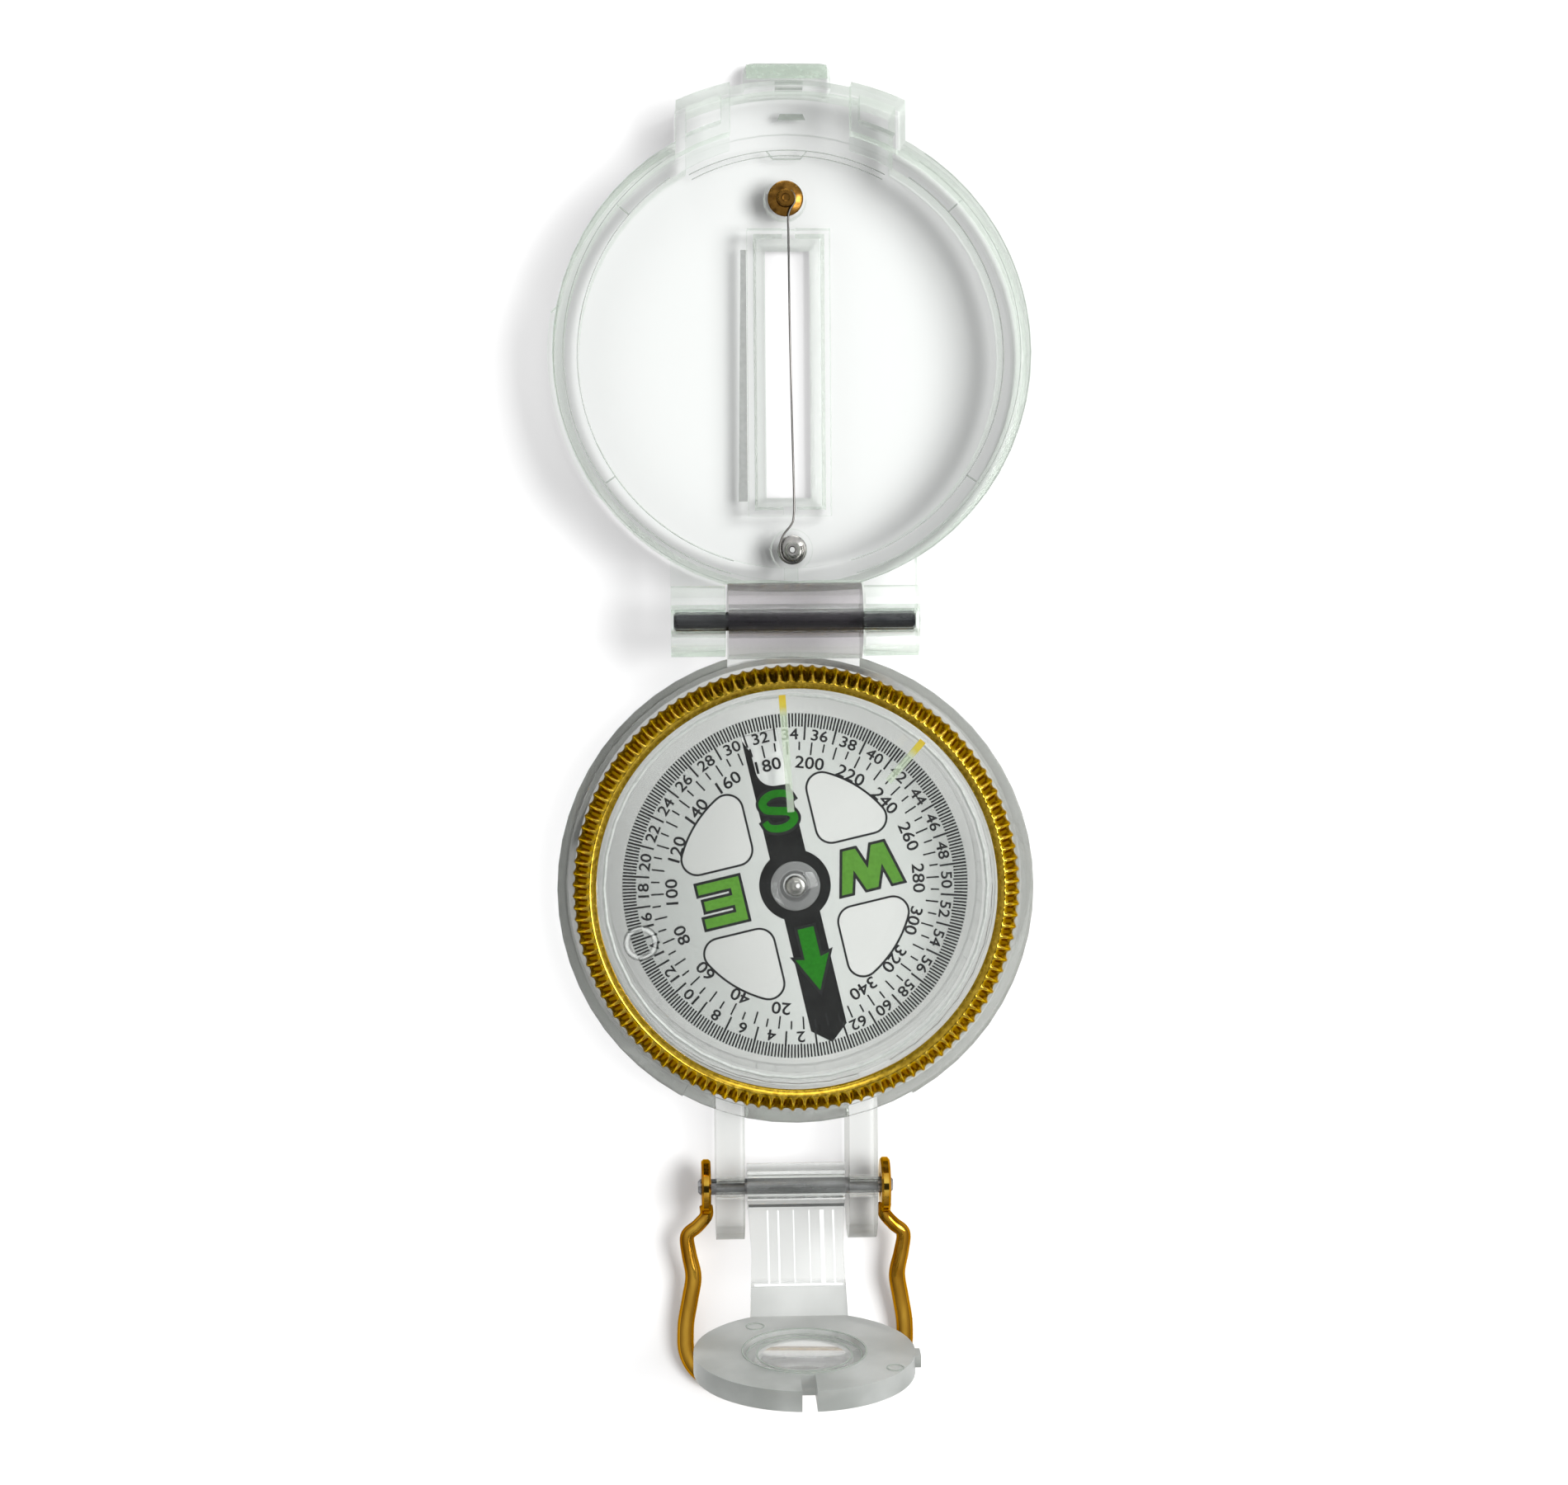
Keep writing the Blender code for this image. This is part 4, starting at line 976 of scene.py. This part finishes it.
def scales():
    """Two rings of marks: 6400 to the circle outside, degrees inside."""
    points = []
    for i in range(320):
        hundreds = i / 5
        inner, width = 18.65, 0.1
        if hundreds % 2 == 1:
            inner, width = 17.1, 0.115
        elif hundreds % 1 == 0:
            inner = 18.55
        points += tick(i * 360 / 320, inner, 20.22, width)
    for i in range(72):
        points += tick(i * 5, 15.9 if i % 2 else 15.4, 16.9, 0.1)
    faces = [tuple(start + j for j in side) for start in range(0, len(points), 8) for side in BOX_FACES]
    pieces = [from_points("ticks", points, faces)]
    pieces += [number(str(n), n / 64 * 360, 17.7, 1.8) for n in range(2, 64, 2)]
    pieces += [number(str(n), n, 14.4, 2.0) for n in range(20, 360, 20)]
    for quarter in range(4):
        loops = [window_outline(quarter, 0.27), window_outline(quarter, 0.02)]
        pieces.append(prism("window_line", loops, INK_LOW, INK_HIGH))
    unshaded(fitted(moved(joined("dial_scales", pieces), NORTH), "dial", BLACK_INK))


def letter_e(x, y, width, height, stroke):
    """A block E whose middle bar is a little shorter than the other two."""
    left, right, top, bottom = x - width / 2, x + width / 2, y + height / 2, y - height / 2
    stem, half, bar = left + stroke, stroke / 2, right - 0.4
    return [
        (left, top), (right, top), (right, top - stroke), (stem, top - stroke),
        (stem, y + half), (bar, y + half), (bar, y - half), (stem, y - half),
        (stem, bottom + stroke), (right, bottom + stroke), (right, bottom), (left, bottom),
    ]


def letter_w(x, y, width, height, stroke):
    """Two sharp valleys with a middle peak as high as the arms."""
    top, bottom = y + height / 2, y - height / 2
    left, right = x - width / 2, x + width / 2
    thick = stroke * 1.05
    near, far = left + width * 0.27, right - width * 0.27
    peak, foot, rise = thick * 0.55, thick * 0.6, 2.0 * stroke
    return [
        (left, top), (left + thick, top), (near, bottom + rise), (x - peak, top), (x + peak, top),
        (far, bottom + rise), (right - thick, top), (right, top), (far + foot, bottom),
        (far - foot, bottom), (x, top - rise), (near + foot, bottom), (near - foot, bottom),
    ]


def ribbon_s(name, x, y, width, height, stroke, bottom, top, grow=0.0):
    """A ribbon along an S, tapering at both ends. grow widens it all round."""
    spine = [(0.44, 0.22), (0.34, 0.4), (0.08, 0.48), (-0.2, 0.45), (-0.39, 0.3), (-0.33, 0.11)]
    spine += [(-0.12, 0.03)]
    spine += [(0, 0)] + [(-u, -v) for u, v in spine[::-1]]
    spine = smooth_path([(x + u * (width - stroke) * 1.05, y + v * (height - stroke)) for u, v in spine], 6)
    for end, inner in ((0, 1), (-1, -2)):
        outward = (Vector(spine[end]) - Vector(spine[inner])).normalized()
        spine[end] = tuple(Vector(spine[end]) + outward * grow)
    points = []
    for i, spot in enumerate(spine):
        before, after = spine[max(i - 1, 0)], spine[min(i + 1, len(spine) - 1)]
        along = Vector(after) - Vector(before)
        across = Vector((-along.y, along.x)).normalized()
        share = abs(2 * i / (len(spine) - 1) - 1)
        half = stroke / 2 * (1.0 - 0.25 * share**4) + grow
        left, right = Vector(spot) + across * half, Vector(spot) - across * half
        points += [(*left, bottom), (*right, bottom), (*right, top), (*left, top)]
    faces = [(0, 1, 2, 3), tuple(len(points) - 4 + i for i in (3, 2, 1, 0))]
    for i in range(0, len(points) - 4, 4):
        faces += [(i + j, i + (j + 1) % 4, i + 4 + (j + 1) % 4, i + 4 + j) for j in range(4)]
    return from_points(name, points, faces)


def north_arrow():
    tip, base, neck, tail, wing, half = 12.6, 8.5, 8.75, 5.1, 2.0, 0.95
    return [(0, tip), (-wing, base), (-half, neck), (-half, tail), (half, tail), (half, neck), (wing, base)]


def big_letters():
    """Each is printed twice: a swollen black shape, and the green one on it."""
    low, middle, high = CARD_TOP + 0.035, CARD_TOP + 0.055, CARD_TOP + 0.085
    edge = 0.33
    signs = {
        "east": (letter_e(8.75, -0.1, 5.0, 5.2, 1.15), YELLOW_GREEN),
        "west": (letter_w(-8.75, -0.1, 7.4, 5.0, 1.2), YELLOW_GREEN),
        "north_arrow": (north_arrow(), DEEP_GREEN),
    }
    shadows = []
    for name, (outline, ink) in signs.items():
        shadows.append(prism(name + "_edge", [outline], low, middle, offset=edge))
        face = prism("dial_" + name, [outline], middle + 0.005, high)
        unshaded(fitted(moved(face, NORTH), "dial", ink))
    shadows.append(ribbon_s("south_edge", -0.1, -9.0, 4.9, 5.2, 0.95, low, middle, edge))
    south = ribbon_s("dial_south", -0.1, -9.0, 4.9, 5.2, 0.95, middle + 0.005, high)
    unshaded(fitted(moved(south, NORTH), "dial", DEEP_GREEN))
    unshaded(fitted(moved(joined("dial_sign_edges", shadows), NORTH), "dial", BLACK_INK))


def hub():
    """The clear cup on the card, with the polished cap of its bearing in the middle."""
    profile = [
        (1.3, 10.75), (2.55, 10.62), (2.8, 10.45), (2.9, 10.1), (1.8, 10.1), (1.8, 8.05), (1.25, 8.0),
        (1.2, 9.6),
    ]
    unshaded(fitted(turned("hub_cup", profile, 64), "dial", CUP, ["jewel_cup"]))
    profile = [
        (0, 11.28), (0.35, 11.22), (0.6, 11.1), (0.75, 10.95), (1.0, 10.92), (1.12, 10.85), (1.14, 9.7),
        (0, 10.05),
    ]
    unshaded(fitted(turned("hub_cap", profile, 48, sharp=60), "dial", SPRING))


def needle():
    """The magnet bar under the card, pointed at its north end and wide round the hub, with a painted
    reflection on its south end.
    """
    half, reach, eye = 2.15, 19.0, 4.2
    meet = math.degrees(math.asin(half / eye))
    outline = [(0, reach), (-half, reach - 1.8)]
    outline += arc((0, 0), eye, 90 + meet, 270 - meet, 30)
    outline += [(-half, -reach + 0.6), (half, -reach + 0.6)]
    outline += arc((0, 0), eye, meet - 90, 90 - meet, 30)
    outline += [(half, reach - 1.8)]
    hole = arc((0, 0), 1.35, 0, 352.5, 48)
    bar = prism("needle_bar", [outline, hole], 8.35, 9.1)
    unshaded(fitted(moved(bar, NORTH), "dial", NEEDLE, ["compass_needle"]))
    # painted reflection: a pale patch on the south end, shaped like the light it stands for
    side, end = half - 0.02, -18.38
    sheen_outline = [(-side, end), (-side, -11.8), (-0.6, -11.9)]
    sheen_outline += arc((-0.7, -14.0), 2.1, 80, 5, 10) + [(1.45, -16.4), (side, -17.9), (side, end)]
    unshaded(fitted(moved(prism("needle_painted_sheen", [sheen_outline], 9.09, 9.12), NORTH), "dial", PAINTED_SHEEN))


def bubble():
    """The air bubble under the capsule's window: a flattened drop."""
    height, rise, steps = 11.15, 0.6, 24
    turns = [math.pi * i / steps for i in range(steps + 1)]
    profile = [(BUBBLE_RADIUS * math.sin(t), height - rise * math.cos(t)) for t in turns]
    unshaded(fitted(turned("bubble", profile, 48, BUBBLE_CENTRE, 180), "base", BUBBLE))


# The eyepiece is drawn with its pin at the origin and its disc flat, DISC_CENTRE along +Y, then stood up.
PIN_HEIGHT = 5.2
PIVOT = Vector((0, -36.2 * MM, PIN_HEIGHT * MM))
EYEPIECE_PLACE = Matrix.Translation(PIVOT) @ Matrix.Rotation(math.radians(98), 4, "X")
DISC_CENTRE, DISC_FACE = 20.9, 12.72


def lens():
    """A lens that bulges on both sides, with a flat rim."""
    middle, half, edge, bulge, reach = 13.55, 0.3, 6.7, 0.45, 5.4
    crown = [(reach * i / 8, bulge * (1 - (i / 8) ** 2)) for i in range(9)]
    profile = [(r, middle + half + lift) for r, lift in crown]
    profile += [(edge, middle + half), (edge, middle - half)]
    profile += [(r, middle - half - lift) for r, lift in crown[::-1]]
    piece = turned("eyepiece_lens_clear", profile, 96, sharp=25)
    moved(piece, EYEPIECE_PLACE @ Matrix.Translation((0, DISC_CENTRE * MM, 0)))
    unshaded(fitted(piece, "eyepiece", LENS, ["eyepiece_lens"]))


def thumb_loop():
    """The bent wire and its two flattened eyes, drawn along +Y from the pin and laid down to the table."""
    corner, reach, side, eye_x, radius = 5.5, 25.0, 13.2, 10.65, 1.0
    leg = [(eye_x, 2.4), (eye_x, 3.6), (11.7, 4.9), (12.9, 6.1), (12.7, 8.4)]
    leg += [(12.2, 11.2), (12.6, 14.0), (13.1, 17.0), (side, reach - corner)]
    leg = smooth_path(leg, 8) + arc((side - corner, reach - corner), corner, 8, 90, 16)
    path = leg + [(-x, y) for x, y in leg[::-1]]
    swell = [0.8 + 0.2 * min(1, max(0, (y - 4) / 8)) for _, y in path]
    pieces = [wire("loop", [(x, y, 0) for x, y in path], radius, 6, swell)]
    half = [(1.25, 0.35), (1.45, 0.55), (3.05, 0.55), (3.3, 0.3)]
    profile = half + [(r, -z) for r, z in half[::-1]]
    for x in (-eye_x, eye_x):
        upright = Matrix.Translation((x * MM, 0, 0)) @ Matrix.Rotation(math.pi / 2, 4, "Y")
        pieces.append(moved(turned("eye", profile, 48), upright))
    down = math.asin((PIN_HEIGHT - radius) / reach)
    laid = Matrix.Translation(PIVOT) @ Matrix.Rotation(math.pi + down, 4, "X")
    fitted(moved(joined("thumb_loop_gold", pieces), laid), "loop", GOLD, ["thumb_loop"])


ARM_PLACE = EYEPIECE_PLACE @ Matrix.Rotation(math.radians(90 - 32.7), 4, "X")
ARM_FACE = -1.1


def arm_details():
    """Moulded ribs on the upward face of the eyepiece's arm, made milky white as painted highlights, and
    ejector marks and rings on its disc.
    """
    low, high = ARM_FACE - 0.16, ARM_FACE + 0.05
    pieces = []
    near, far = 3.3, 12.2
    for x, width in ((-3.45, 0.22), (-2.2, 0.22), (-0.4, 0.15), (1.45, 0.15), (2.95, 0.5), (4.3, 0.25)):
        left, right = x - width / 2, x + width / 2
        outline = [(left, near), (right, near), (right, far), (left, far)]
        pieces.append(prism("rib", [outline], low, high))
    outline = [(-5.2, 12.1), (5.2, 12.1), (5.2, 12.4), (-5.2, 12.4)]
    pieces.append(prism("line", [outline], low, high))
    fitted(moved(joined("arm_ribs_with_painted_highlights", pieces), ARM_PLACE), "eyepiece", RIB_HIGHLIGHT)
    marks = []
    for x, y, radius in ((-5.3, 12.9, 1.1), (9.9, 26.8, 1.0)):
        loops = [arc((x, y), r, 0, 352, 40) for r in (radius, radius - 0.15)]
        marks.append(prism("mark", loops, DISC_FACE, DISC_FACE + 0.1))
    for radius, low in ((7.15, DISC_FACE), (6.6, 13.2), (5.5, 13.15)):
        loops = [arc((0, DISC_CENTRE), r, 0, 356, 90) for r in (radius, radius - 0.18)]
        marks.append(prism("mark", loops, low, low + 0.1))
    fitted(moved(joined("ejector_marks", marks), EYEPIECE_PLACE), "eyepiece", MARK)


add_camera()
add_world()
add_floor()
scene.view_settings.view_transform = "Standard"
add_light("key", (0.42, 0.1, 0.75), (0, 0.02, 0), (0.4, 0.4), 6.6)
add_light("back", (0.05, 0.9, 0.32), (0, 0.02, 0), (0.8, 0.4), 2.5)

dress(PANE, "capsule_window", "capsule_cup", "crystal_snap_ring")
dress(CARD, "dial_card")
dress(LUMINOUS, "sighting_line_long", "sighting_line_short")
dress(RUBBER, "capsule_gasket")
dress(STEEL, "lid_hinge_pin")
dress(PALE_STEEL, "eyepiece_pin")
dress(SPRING, "bezel_retaining_ring", "bezel_click_spring", "pivot_post")
stacked = ("capsule_window", "capsule_cup", "crystal_snap_ring", "dial_card", "pivot_post")
unshaded(*(NODES[name] for name in stacked))
shells()
sight()
lid_details()
bezel()
scales()
big_letters()
hub()
needle()
bubble()
lens()
thumb_loop()
arm_details()
